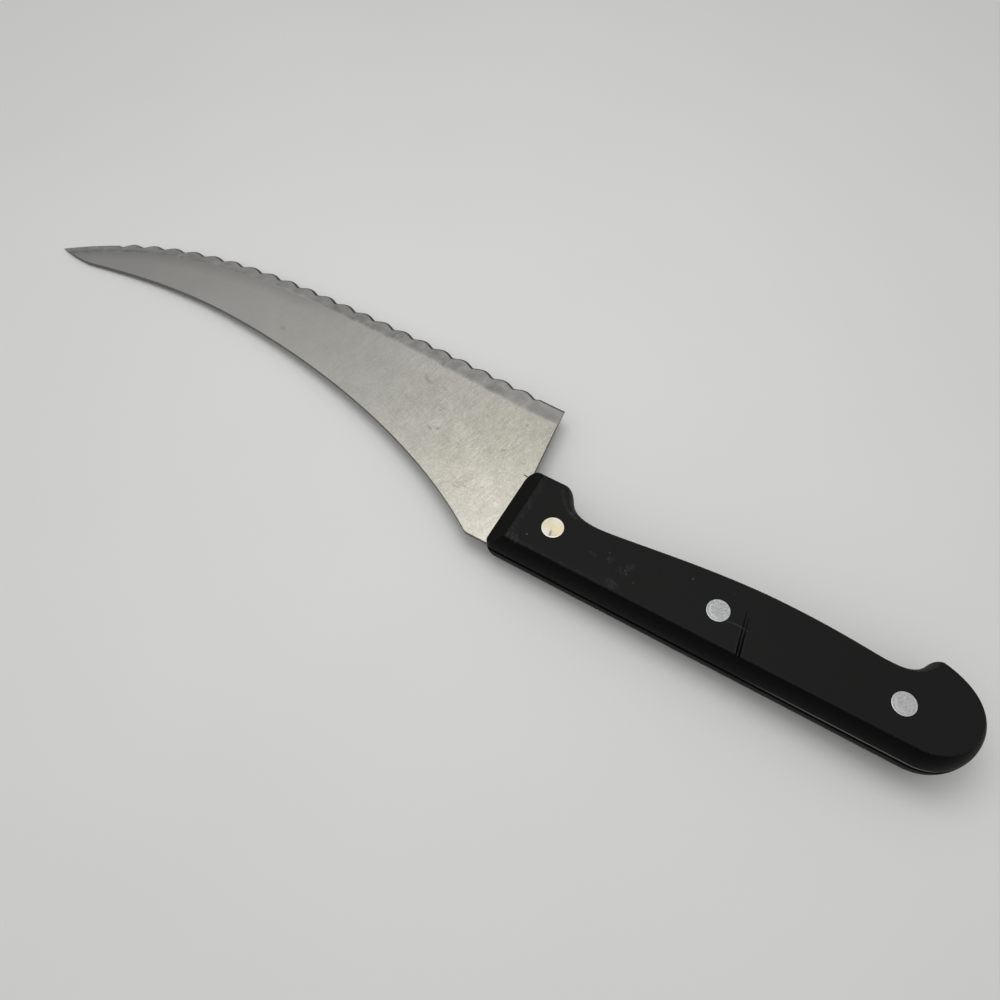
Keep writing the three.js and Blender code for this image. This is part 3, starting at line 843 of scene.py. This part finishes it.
def rivet_aluminium(at):
    """Dull soft metal, finely mottled, with a painted highlight on its rim and on one side of a pressed
    ring; the front rivet has a warm stain.
    """
    x, y, _ = at.parts()
    half_way = RIVET_SPACING / 2
    off_x = (x - FRONT_RIVET_AT + half_way).math("FLOORED_MODULO", RIVET_SPACING) - half_way
    radius = away_from(off_x, y, (0, 0))
    # painted highlight: a lighter ring at the head's rounded rim
    rim = radius.ramp(2.5, 2.8)
    # painted highlight: a ring lighter only on its lower left, as light would catch a pressed ring
    pressed_highlight = abs(radius - PRESSED_RADIUS).ramp(0.3, 0.1)
    pressed_highlight = pressed_highlight * (off_x + y).ramp(-0.6, -2)
    mottle = at.noise(2.3, 4, 0.7)
    scratch = at.grain((1, 7, 1), 25)
    front = x < FRONT_RIVET_AT + half_way
    rear = x > FRONT_RIVET_AT + 3 * half_way
    # painted highlights: the lighter rim and the lit side of the pressed ring
    tone = 0.45 + swing(mottle, 4.5) + swing(scratch, 0.7) + rim * 0.35 + pressed_highlight * 0.7
    cream = mottle.blend(*CREAM_COLOURS)
    for stain_at, reach, turn, colour in FRONT_RIVET_STAINS:
        stain = spot(x - FRONT_RIVET_AT, y, stain_at, reach, turn)
        cream = (stain * (0.1 + 1.8 * mottle)).blend(cream, colour)
    metal = layered(tone.blend(*RIVET_COLOURS), (
        (rear, tone.blend(*REAR_COLOURS)),
        # painted rim highlight on the front rivet
        (front, (rim * 0.8).blend(cream, CREAM_RIM_HIGHLIGHT)),
    ))
    height = mottle * 0.7 + scratch * 0.3
    return metal, 0.46 + swing(mottle, 0.2), height


def pale_table(at):
    """The pale table: nearly plain, with a breath of unevenness."""
    cloud = at.noise(0.012, 3)
    grain = at.noise(1.1, 3)
    tone = 0.5 + swing(cloud, 0.7) + swing(grain, 0.15)
    colour = tone.blend(*TABLE_COLOURS)
    return colour, TABLE_ROUGHNESS, grain


# Blade

TIP = (-BLADE_LENGTH, TIP_HEIGHT)
HEEL = (-HEEL_AHEAD, HEEL_HEIGHT)
EDGE_PEAK = (-EDGE_PEAK_SHARE * BLADE_LENGTH, EDGE_PEAK_HEIGHT)
SPINE_DIP = (-SPINE_DIP_SHARE * BLADE_LENGTH, SPINE_DIP_HEIGHT)
SPINE_ARCH = (-SPINE_ARCH_SHARE * BLADE_LENGTH, SPINE_ARCH_HEIGHT)
NECK = np.array((-NECK_AHEAD, -NECK_DEPTH))


def heel_line_at(height):
    """Where the blade's straight back end is at a height."""
    return -HEEL_AHEAD + (HEEL_HEIGHT - height) * HEEL_SLOPE


def edge_points(steps):
    """The middle line of the scallops, from the heel to the tip."""
    parts = (
        fair_curve(HEEL, 180 - HEEL_EDGE_ANGLE, EDGE_PEAK, 180, "edge_heel", steps),
        fair_curve(EDGE_PEAK, 180, TIP, 180 + TIP_EDGE_ANGLE, "edge_tip", steps),
        np.array([TIP]),
    )
    return np.concatenate(parts)


def tang_points(grow):
    """Round the tang from the neck's spine to the blade's back end, larger all round by grow."""
    low = -TANG_WIDTH / 2 - grow
    high = TANG_WIDTH / 2 + grow
    back_at = heel_line_at(high) + grow
    taper = SHOULDER_LENGTH + grow
    t = np.linspace(0, 1, ROUND_STEPS + 1)[:, None]
    corners = (
        (taper, -NECK_DEPTH - grow),
        (taper + SHOULDER_TAPER / 2, -NECK_DEPTH - grow),
        (taper + SHOULDER_TAPER / 2, low),
        (taper + SHOULDER_TAPER, low),
    )
    shoulder = cubic(*(np.array(point, float) for point in corners), t)
    tail = corner(TANG_END - TANG_WIDTH / 2, 0, high, -90, 90)
    round_top = high + SHOULDER_ROUND
    top = (heel_line_at(round_top) + grow, round_top)
    bend = quick_bend((back_at + SHOULDER_ROUND, high), (back_at, high), top, ROUND_STEPS)
    return np.concatenate((shoulder, tail, bend))


def blank_outline():
    """The stamped blank, with spare metal along the edge for the grind to take away."""
    before_neck = NECK - heading(-NECK_ANGLE) * NECK_ROUND
    after_neck = NECK + np.array((NECK_ROUND, 0))
    spare_heel = HEEL_HEIGHT + SCALLOP_DEPTH
    spare_edge = edge_points(SPINE_STEPS)[1:] + np.array((0, SCALLOP_DEPTH))
    fall = fair_curve(SPINE_ARCH, 0, NECK, -NECK_ANGLE, "spine_arch", SPINE_STEPS)
    fall = fall[np.linalg.norm(fall - NECK, axis=1) > NECK_CLEAR * NECK_ROUND]
    return np.concatenate((
        fair_curve(TIP, -TIP_SPINE_ANGLE, SPINE_DIP, 0, "spine_tip", SPINE_STEPS // 3),
        fair_curve(SPINE_DIP, 0, SPINE_ARCH, 0, "spine_dip", SPINE_STEPS),
        fall,
        quick_bend(before_neck, NECK, after_neck, ROUND_STEPS),
        tang_points(0),
        np.array([(heel_line_at(spare_heel), spare_heel)]),
        spare_edge,
    ))


# Sizes that the grind takes, and finishes in the order of the zones
GRIND_SIZES = {
    "Pitch": SCALLOP_PITCH * MM,
    "Depth": SCALLOP_DEPTH * MM,
    "Count": float(SCALLOP_COUNT),
    "Plain Heel": PLAIN_HEEL * MM,
    "Thickness": BLADE_THICKNESS * MM,
    "Heel Grind Width": HEEL_GRIND_WIDTH * MM,
    "Grind Width": GRIND_WIDTH * MM,
    "Grind Taper": GRIND_TAPER * MM,
    "Flute Fade": FLUTE_FADE,
    "Roll": GRIND_ROLL * MM,
    "Bevel Width": EDGE_BEVEL_WIDTH * MM,
    "Bevel Slope": math.tan(math.radians(EDGE_BEVEL_ANGLE)),
    "Lag": GRIND_LAG * MM,
}
BLADE_FINISHES = {
    "Face Finish": brushed_steel,
    "Rim Finish": sheared_steel,
    "Grind Finish": ground_steel,
    "Edge Finish": edge_steel,
}
FACE_ZONE, RIM_ZONE, GRIND_ZONE, EDGE_ZONE = range(len(BLADE_FINISHES))


def blade_blank():
    """The sheet before grinding, with its rivet holes."""
    outline = blank_outline()
    wall = HALF_BLADE - SHEAR_ROUND
    rings = [
        at_height(inset(outline, SHEAR_ROUND), -HALF_BLADE),
        at_height(outline, -wall),
        at_height(outline, wall),
        at_height(inset(outline, SHEAR_ROUND), HALF_BLADE),
    ]
    blank = lofted("ground_blade", rings, FACE_ZONE, RIM_ZONE)
    radius = SHANK_DIAMETER / 2 + TANG_HOLE_CLEARANCE
    reach = BLADE_THICKNESS
    holes = [round_rod("hole", x, ((radius, -reach), (radius, reach))) for x in RIVET_PLACES]
    return cut(blank, holes)


def edge_path():
    """The middle line of the scallops as a curve for the grind to follow."""
    curve = bpy.data.curves.new("edge_path", "CURVE")
    curve.dimensions = "3D"
    line = curve.splines.new("POLY")
    points = placed(at_height(edge_points(EDGE_STEPS), 0))
    line.points.add(len(points) - 1)
    for point, place in zip(line.points, points):
        point.co = (*place, 1)
    return new_piece("edge_path", curve)


def new_tree(name, sockets):
    """A geometry tree with these sockets, and their values."""
    group = bpy.data.node_groups.new(name, "GeometryNodeTree")
    for socket, kind in sockets.items():
        group.interface.new_socket(socket, in_out="INPUT", socket_type="NodeSocket" + kind)
    group.interface.new_socket("Geometry", in_out="OUTPUT", socket_type="NodeSocketGeometry")
    tree = Tree(group)
    first = tree.node("NodeGroupInput")
    return group, tree, {socket: first.other(socket) for socket in sockets}


def scallop_height(along, given):
    """How far the edge stands out: round scallops that meet in soft notches, and plain ends."""
    phase = (along - given["Plain Heel"]) / given["Pitch"]
    past = (-phase).math("MAXIMUM", phase - given["Count"])
    sine = (phase * math.pi).math("SINE")
    rise = ((sine * sine + NOTCH_ROUND ** 2) ** 0.5 - NOTCH_ROUND) / SCALLOP_TOP
    plain = past > RUN_OUT
    return given["Depth"] * (rise * (1 - plain) + 0.5 * plain - 0.5)


def bent_cylinder(tree, around, along, place):
    """A capped cylinder of so many steps around and along, with its points moved to their place."""
    inputs = {"Vertices": around, "Side Segments": along, "Radius": 1.0, "Depth": 1.0}
    prism = tree.node("GeometryNodeMeshCylinder", inputs, fill_type="NGON")
    return tree.node("GeometryNodeSetPosition", {"Geometry": prism, "Position": place})


def wheel_cut(tree, given, path, lead, slope_through, zone):
    """What a wheel takes away: all that lies above a slope through steps of each section.

    slope_through gives the steps from the foot up, as (distance out from the edge, height).
    """
    overrun = CUT_OVERRUN * MM
    x, y, z = tree.node("GeometryNodeInputPosition").parts()
    length = tree.node("GeometryNodeCurveLength", {0: path})
    along = (z + 0.5) * (length + 2 * overrun) - overrun
    on_path = along.math("MAXIMUM", 0.0).math("MINIMUM", length)
    inputs = {"Curves": path, "Length": on_path}
    base = tree.node("GeometryNodeSampleCurve", inputs, "Position", mode="LENGTH", use_all_curves=True)
    base_x, base_y, base_z = base.parts()
    ahead_x, ahead_y, _ = base.other("Tangent").parts()
    above = given["Thickness"] + overrun
    outer = given["Depth"] + overrun
    steps = slope_through(scallop_height(along - lead, given), along)
    (foot, low), (second, second_height) = steps[:2]
    (before, before_height), (last, last_height) = steps[-2:]
    low_slope = (second_height - low) / (foot - second)
    high_slope = (last_height - before_height) / (before - last)
    section = [(last - (above - last_height) / high_slope, above), (outer, above)]
    section.append((outer, low - (outer - foot) * low_slope))
    section += steps[1:-1]
    turn = y.math("ARCTAN2", x) / (2 * math.pi) * len(section) + 0.5
    turn = turn.math("FLOORED_MODULO", float(len(section)))
    out, height = chosen(turn, section)
    height = height - given["Thickness"] * 0.5
    past_end = along - on_path
    place = tree.vector(
        base_x + ahead_y * out + ahead_x * past_end,
        base_y - ahead_x * out + ahead_y * past_end,
        base_z + height,
    )
    moved = bent_cylinder(tree, len(section), GRIND_STATIONS, place)
    inputs = {"Geometry": moved, "Name": "zone", "Value": zone}
    return tree.node("GeometryNodeStoreNamedAttribute", inputs, data_type="INT", domain="FACE")


def chosen(number, steps):
    """The pair of the steps whose number the whole part of a value gives."""
    first = 0.0
    second = 0.0
    for index, (step_first, step_second) in enumerate(steps):
        here = (number > index) * (number < index + 1)
        first = here * step_first + first
        second = here * step_second + second
    return first, second


def grind_tree():
    """Grinds the scalloped edge on a blank, and gives each zone its finish."""
    sockets = {"Geometry": "Geometry", "Edge Path": "Object"}
    sockets |= dict.fromkeys(GRIND_SIZES, "Float") | dict.fromkeys(BLADE_FINISHES, "Material")
    group, tree, given = new_tree("scalloped_grind", sockets)
    path = tree.node("GeometryNodeObjectInfo", {0: given["Edge Path"]}, "Geometry")
    bevel_rise = given["Bevel Width"] * given["Bevel Slope"]

    def grind_slope(bump, along):
        width = along.ramp(0.0, given["Grind Taper"], given["Heel Grind Width"], given["Grind Width"])
        foot = bump - given["Bevel Width"]
        end = bump * given["Flute Fade"] - width
        slope = (given["Thickness"] - bevel_rise) / (foot - end)
        steps = [(foot, bevel_rise)]
        for step in range(GRIND_ROLL_STEPS + 1):
            share = step / GRIND_ROLL_STEPS
            out = end + given["Roll"] * (0.5 - share)
            sunk = given["Roll"] * slope * (0.5 * (1 - share) ** 2 - CUT_LIFT)
            steps.append((out, given["Thickness"] - sunk))
        return steps

    def bevel_slope(bump, along):
        return [(bump, 0.0), (bump - given["Bevel Width"], bevel_rise)]

    grind = wheel_cut(tree, given, path, -given["Lag"], grind_slope, GRIND_ZONE)
    bevel = wheel_cut(tree, given, path, 0.0, bevel_slope, EDGE_ZONE)
    blade = given["Geometry"]
    for wheel in (grind, bevel):
        inputs = {0: blade, 1: wheel}
        blade = tree.node("GeometryNodeMeshBoolean", inputs, operation="DIFFERENCE", solver="MANIFOLD")
    blade = tree.node("GeometryNodeRealizeInstances", {0: blade})
    zone = tree.node("GeometryNodeInputNamedAttribute", {"Name": "zone"}, data_type="INT")
    for number, name in enumerate(BLADE_FINISHES):
        inputs = {"A": zone, "B": number}
        here = tree.node("FunctionNodeCompare", inputs, data_type="INT", operation="EQUAL")
        inputs = {"Geometry": blade, "Selection": here, "Material": given[name]}
        blade = tree.node("GeometryNodeSetMaterial", inputs)
    tree.node("NodeGroupOutput", {0: blade})
    return group


def through_tree(piece, group, values):
    """The piece as a geometry tree with these inputs leaves it."""
    modifier = piece.modifiers.new(group.name, "NODES")
    modifier.node_group = group
    for item in group.interface.items_tree:
        if item.in_out == "INPUT" and item.name in values:
            modifier[item.identifier] = values[item.name]
    return settled(piece)


def ground_blade():
    """The finished blade."""
    path = edge_path()
    finishes = {name: finished(make) for name, make in BLADE_FINISHES.items()}
    blade = through_tree(blade_blank(), grind_tree(), {"Edge Path": path, **GRIND_SIZES, **finishes})
    discarded([path])
    return smoothed(blade, BLADE_SHARP_ANGLE)


# Handle scales


def scale_outline():
    """The scale's outline at the seam, turning left from the lower front corner."""
    low_corner = corner(FRONT_ROUND, FRONT_ROUND - SPINE_SIDE, FRONT_ROUND, 180, 270)
    butt = corner(HANDLE_LENGTH - BUTT_RADIUS, BUTT_RADIUS - SPINE_SIDE, BUTT_RADIUS, -90, 0, BUTT_STEPS)
    hook_ends = (90 - HOOK_BACK_ANGLE, 90 + HOOK_FLANK_ANGLE)
    hook = corner(HOOK_AT, HOOK_HEIGHT - HOOK_ROUND, HOOK_ROUND, *hook_ends)
    guard = corner(GUARD_LENGTH, GUARD_HEIGHT - GUARD_ROUND, GUARD_ROUND, 90 - GUARD_FLANK_ANGLE, 90)
    high_corner = corner(FRONT_ROUND, GUARD_HEIGHT - FRONT_ROUND, FRONT_ROUND, 90, 180)
    dip = (DIP_AT, DIP_HEIGHT)
    belly = (BELLY_AT, BELLY_HEIGHT)
    recess = (RECESS_AT, RECESS_HEIGHT)
    return np.concatenate((
        low_corner,
        butt,
        fair_curve(butt[-1], 90, hook[0], 180 - HOOK_BACK_ANGLE, "butt")[1:],
        hook,
        fair_curve(hook[-1], 180 + HOOK_FLANK_ANGLE, dip, 180, "hook")[1:],
        fair_curve(dip, 180, belly, 180, "dip"),
        fair_curve(belly, 180, recess, 180, "belly"),
        fair_curve(recess, 180, guard[0], 180 - GUARD_FLANK_ANGLE, "recess"),
        guard,
        high_corner,
    ))


def side_profile():
    """The scale's side as [inset, height] steps, from the rim in the seam up to the flat face."""
    radius = (SCALE_THICKNESS ** 2 + SIDE_CROWN ** 2) / (2 * SIDE_CROWN)
    start = math.asin(LIP_ROUND / radius)
    end = math.asin((SCALE_THICKNESS - FACE_ROUND) / radius)
    angles = np.linspace(start, end, CROWN_STEPS)
    crown = np.stack((radius * (1 - np.cos(angles)), LIP_HEIGHT + radius * np.sin(angles)), axis=1)
    lip = quick_bend((LIP_ROUND, LIP_HEIGHT), (0, LIP_HEIGHT), crown[0], FILLET_STEPS)
    face_corner = (SIDE_CROWN, FACE_HEIGHT)
    face = quick_bend(crown[-1], face_corner, (SIDE_CROWN + FACE_ROUND, FACE_HEIGHT), FILLET_STEPS)
    rim = ((SEAM_DEPTH, RIM_CLEARANCE), (SEAM_DEPTH, LIP_HEIGHT))
    return np.concatenate((rim, lip[:-1], crown, face[1:]))


def front_cutter(side):
    """The slanted cut at the front, which rounds over into the flat face."""
    slope = (FACE_HEIGHT - LIP_HEIGHT - FRONT_LAND) / FRONT_BEVEL
    low = LIP_HEIGHT + FRONT_LAND - CUT_OVERRUN * slope
    before = (FRONT_BEVEL - BEVEL_ROUND, FACE_HEIGHT - BEVEL_ROUND * slope)
    after = (FRONT_BEVEL + BEVEL_ROUND, FACE_HEIGHT + CUT_LIFT)
    bend = quick_bend(before, (FRONT_BEVEL, FACE_HEIGHT), after, FILLET_STEPS)
    high = FACE_HEIGHT + CUT_OVERRUN
    profile = np.concatenate(([(-CUT_OVERRUN, low)], bend, [(after[0], high), (-CUT_OVERRUN, high)]))
    if side < 0:
        profile = profile[::-1]
    ends = (GUARD_HEIGHT + CUT_OVERRUN, -SPINE_SIDE - CUT_OVERRUN)
    rings = [np.column_stack((profile[:, 0], np.full(len(profile), y), side * profile[:, 1])) for y in ends]
    return lofted("front_cut", rings)


def pocket_cutter(side):
    """The seat for the tang."""
    top = GUARD_HEIGHT + CUT_OVERRUN
    points = np.concatenate((
        [(-CUT_OVERRUN, -NECK_DEPTH - POCKET_CLEARANCE)],
        tang_points(POCKET_CLEARANCE),
        [(heel_line_at(top) + POCKET_CLEARANCE, top), (-CUT_OVERRUN, top)],
    ))
    heights = (0, HALF_BLADE) if side > 0 else (-HALF_BLADE, 0)
    return lofted("pocket", [at_height(points, height) for height in heights])


def rivet_cutter(x, side):
    """A stepped hole for a rivet's shank and head."""
    shank = SHANK_DIAMETER / 2 + RIVET_CLEARANCE
    head = HEAD_DIAMETER / 2 + RIVET_CLEARANCE
    ledge = HEAD_TOP - HEAD_THICKNESS
    past = FACE_HEIGHT + CUT_OVERRUN
    steps = [(shank, 0), (shank, ledge), (head, ledge), (head, past)]
    if side < 0:
        steps = [(radius, -height) for radius, height in reversed(steps)]
    return round_rod("rivet_hole", x, steps)


def slit_cutter(start, end, width, depth):
    """A knife cut in the flat face: a thin wedge that deepens towards its end."""
    start = np.array(start, float)
    end = np.array(end, float)
    across = np.array((start[1] - end[1], end[0] - start[0]))
    across = across / np.linalg.norm(across)
    shares, widths = np.array(SLIT_SHAPE).T
    widths = width / 2 * widths
    spine = start + (end - start) * shares[:, None]
    floor = FACE_HEIGHT - depth * (SLIT_START_DEPTH + (1 - SLIT_START_DEPTH) * shares)
    top = np.full(len(shares), FACE_HEIGHT + SLIT_TOP)
    rings = []
    for heights, share in ((floor, SLIT_FLOOR_WIDTH), (top, SLIT_TOP_WIDTH)):
        side = across * (widths * share)[:, None]
        right = np.column_stack((spine - side, heights))
        left = np.column_stack((spine + side, heights))
        rings.append(np.concatenate((right, left[::-1])))
    return lofted("slit", rings)


def handle_scale(name, side, plastic):
    """One half of the handle; side is 1 on the right and -1 on the left."""
    outline = scale_outline()
    rings = [at_height(inset(outline, step), side * height) for step, height in side_profile()]
    if side < 0:
        rings.reverse()
    scale = lofted(name, rings)
    cutters = [front_cutter(side), pocket_cutter(side)]
    cutters += [rivet_cutter(x, side) for x in RIVET_PLACES]
    if side > 0:
        cutters += [slit_cutter(*slit) for slit in CUTS]
    cut(scale, cutters)
    scale.data.materials.clear()
    scale.data.materials.append(plastic)
    return smoothed(scale, SCALE_SHARP_ANGLE)


# Rivets

RIVET_SIZES = {
    "Spacing": RIVET_SPACING * MM,
    "Head Diameter": HEAD_DIAMETER * MM,
    "Head Thickness": HEAD_THICKNESS * MM,
    "Chamfer": HEAD_CHAMFER * MM,
    "Ring Width": RING_WIDTH * MM,
    "Ring Depth": RING_DEPTH * MM,
    "Shank": SHANK_DIAMETER * MM,
    "Reach": HEAD_TOP * MM,
}


def rivet_tree():
    """A row of flush rivets, headed at both ends."""
    sockets = {"Geometry": "Geometry", "First": "Vector", "Count": "Int", "Finish": "Material"}
    group, tree, given = new_tree("rivet_row", sockets | dict.fromkeys(RIVET_SIZES, "Float"))
    head = given["Head Diameter"] * 0.5
    shank = given["Shank"] * 0.5
    chamfer = given["Chamfer"]
    top = given["Reach"]
    seat = top - given["Head Thickness"]
    ring = head - given["Ring Width"]
    upper = [
        (shank, seat),
        (head, seat),
        (head, top - chamfer),
        (head - chamfer * CHAMFER_BEND, top - chamfer * CHAMFER_BEND),
        (head - chamfer, top),
        (ring, top),
        (ring - given["Ring Width"] * RING_MIDDLE, top - given["Ring Depth"]),
        (ring - given["Ring Width"] * RING_INNER, top),
    ]
    steps = [(radius, -height) for radius, height in reversed(upper)] + upper
    x, y, z = tree.node("GeometryNodeInputPosition").parts()
    radius, height = chosen((z + 0.5) * (len(steps) - 1) + 0.5, steps)
    place = tree.vector(x * radius, y * radius, height)
    rivet = bent_cylinder(tree, RIVET_STEPS, len(steps) - 1, place)
    step = tree.vector(given["Spacing"], 0.0, 0.0)
    inputs = {"Count": given["Count"], "Start Location": given["First"], "Offset": step}
    row = tree.node("GeometryNodeMeshLine", inputs, mode="OFFSET")
    rivets = tree.node("GeometryNodeInstanceOnPoints", {"Points": row, "Instance": rivet})
    rivets = tree.node("GeometryNodeRealizeInstances", {0: rivets})
    rivets = tree.node("GeometryNodeSetMaterial", {"Geometry": rivets, "Material": given["Finish"]})
    tree.node("NodeGroupOutput", {0: rivets})
    return group


def rivet_row():
    """The three rivets."""
    row = new_piece("rivets", bpy.data.meshes.new("rivets"))
    first = tuple(placed((FRONT_RIVET_AT, 0, 0))[0])
    finish = finished(rivet_aluminium)
    values = {"First": first, "Count": RIVET_COUNT, "Finish": finish, **RIVET_SIZES}
    through_tree(row, rivet_tree(), values)
    return smoothed(row, RIVET_SHARP_ANGLE)


# Table, light and camera


def lay_table():
    """The table, tilted so that the blade's tip and the left scale's front both touch it."""
    rise = (FACE_HEIGHT - HALF_BLADE) / (FRONT_BEVEL + BLADE_LENGTH)
    corners = []
    for x, y in ((-1, -1), (1, -1), (1, 1), (-1, 1)):
        along = x * TABLE_REACH
        corners.append((along, y * TABLE_REACH, (FRONT_BEVEL - along) * rise - FACE_HEIGHT))
    mesh = bpy.data.meshes.new("table")
    mesh.from_pydata([tuple(point) for point in placed(corners)], [], [(0, 1, 2, 3)])
    mesh.materials.append(finished(pale_table))
    table = new_piece("table", mesh)


def ceiling_panel():
    """A broad lamp of an even brightness over the knife."""
    lamp = bpy.data.lights.new("ceiling_panel", "AREA")
    lamp.shape = "RECTANGLE"
    lamp.size, lamp.size_y = (side * MM for side in PANEL_SIZE)
    lamp.energy = PANEL_STRENGTH * math.pi * lamp.size * lamp.size_y
    lamp.color = PANEL_COLOUR
    start = Vector(placed(PANEL_AT)[0])
    facing = Vector(placed(PANEL_AIM)[0]) - start
    turned = facing.to_track_quat("-Z", "Y").to_matrix().to_4x4()
    new_piece("ceiling_panel", lamp).matrix_world = Matrix.Translation(start) @ turned


def room_light():
    """A soft room: a broad bright ceiling, and walls that are darker towards the floor."""
    world = bpy.data.worlds.new("soft_room")
    world.use_nodes = True
    world.node_tree.nodes.clear()
    tree = Tree(world.node_tree)
    _, y, z = tree.node("ShaderNodeTexCoord", output="Generated").parts()
    sides = []
    for stops in (FAR_SIDE, NEAR_SIDE):
        sides.append(tree.node("ShaderNodeValToRGB", {0: z}))
        elements = sides[-1].socket.node.color_ramp.elements
        while len(elements) < len(stops):
            elements.new(1)
        for element, (place, grey, blue) in zip(elements, stops):
            element.position = place
            element.color = (grey, grey, blue, 1)
    shade = y.ramp(0.1, -0.35).blend(*sides)
    background = tree.node("ShaderNodeBackground", {"Color": shade, "Strength": 1.0})
    tree.node("ShaderNodeOutputWorld", {"Surface": background})
    bpy.context.scene.world = world


def photo_camera():
    """The camera at the photograph's place."""
    lens = bpy.data.cameras.new("photo_camera")
    lens.lens = CAMERA_LENS
    lens.sensor_width = SENSOR_WIDTH
    lens.clip_start, lens.clip_end = CLIP_DISTANCES
    camera = new_piece("photo_camera", lens)
    back = -Vector(CAMERA_AIM).normalized()
    right = Vector(CAMERA_UP).cross(back).normalized()
    up = back.cross(right)
    turned = Matrix((right, up, back)).transposed().to_4x4()
    camera.matrix_world = Matrix.Translation(Vector(placed(CAMERA_AT)[0])) @ turned
    bpy.context.scene.camera = camera


photo_camera()
lay_table()
room_light()
ceiling_panel()
bpy.context.scene.view_settings.view_transform = "Standard"

plastic = finished(black_plastic)
blade = ground_blade()
right_scale = handle_scale("right_handle_scale", 1, plastic)
left_scale = handle_scale("left_handle_scale", -1, plastic)
rivets = rivet_row()

for piece, slot, nodes in (
    (blade, "steel", ("blade",)),
    (right_scale, "plastic", ("right_scale",)),
    (left_scale, "plastic", ("left_scale",)),
    (rivets, "rivet", [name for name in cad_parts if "_rivet_" in name]),
):
    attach(piece, "root")
    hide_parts(*nodes)
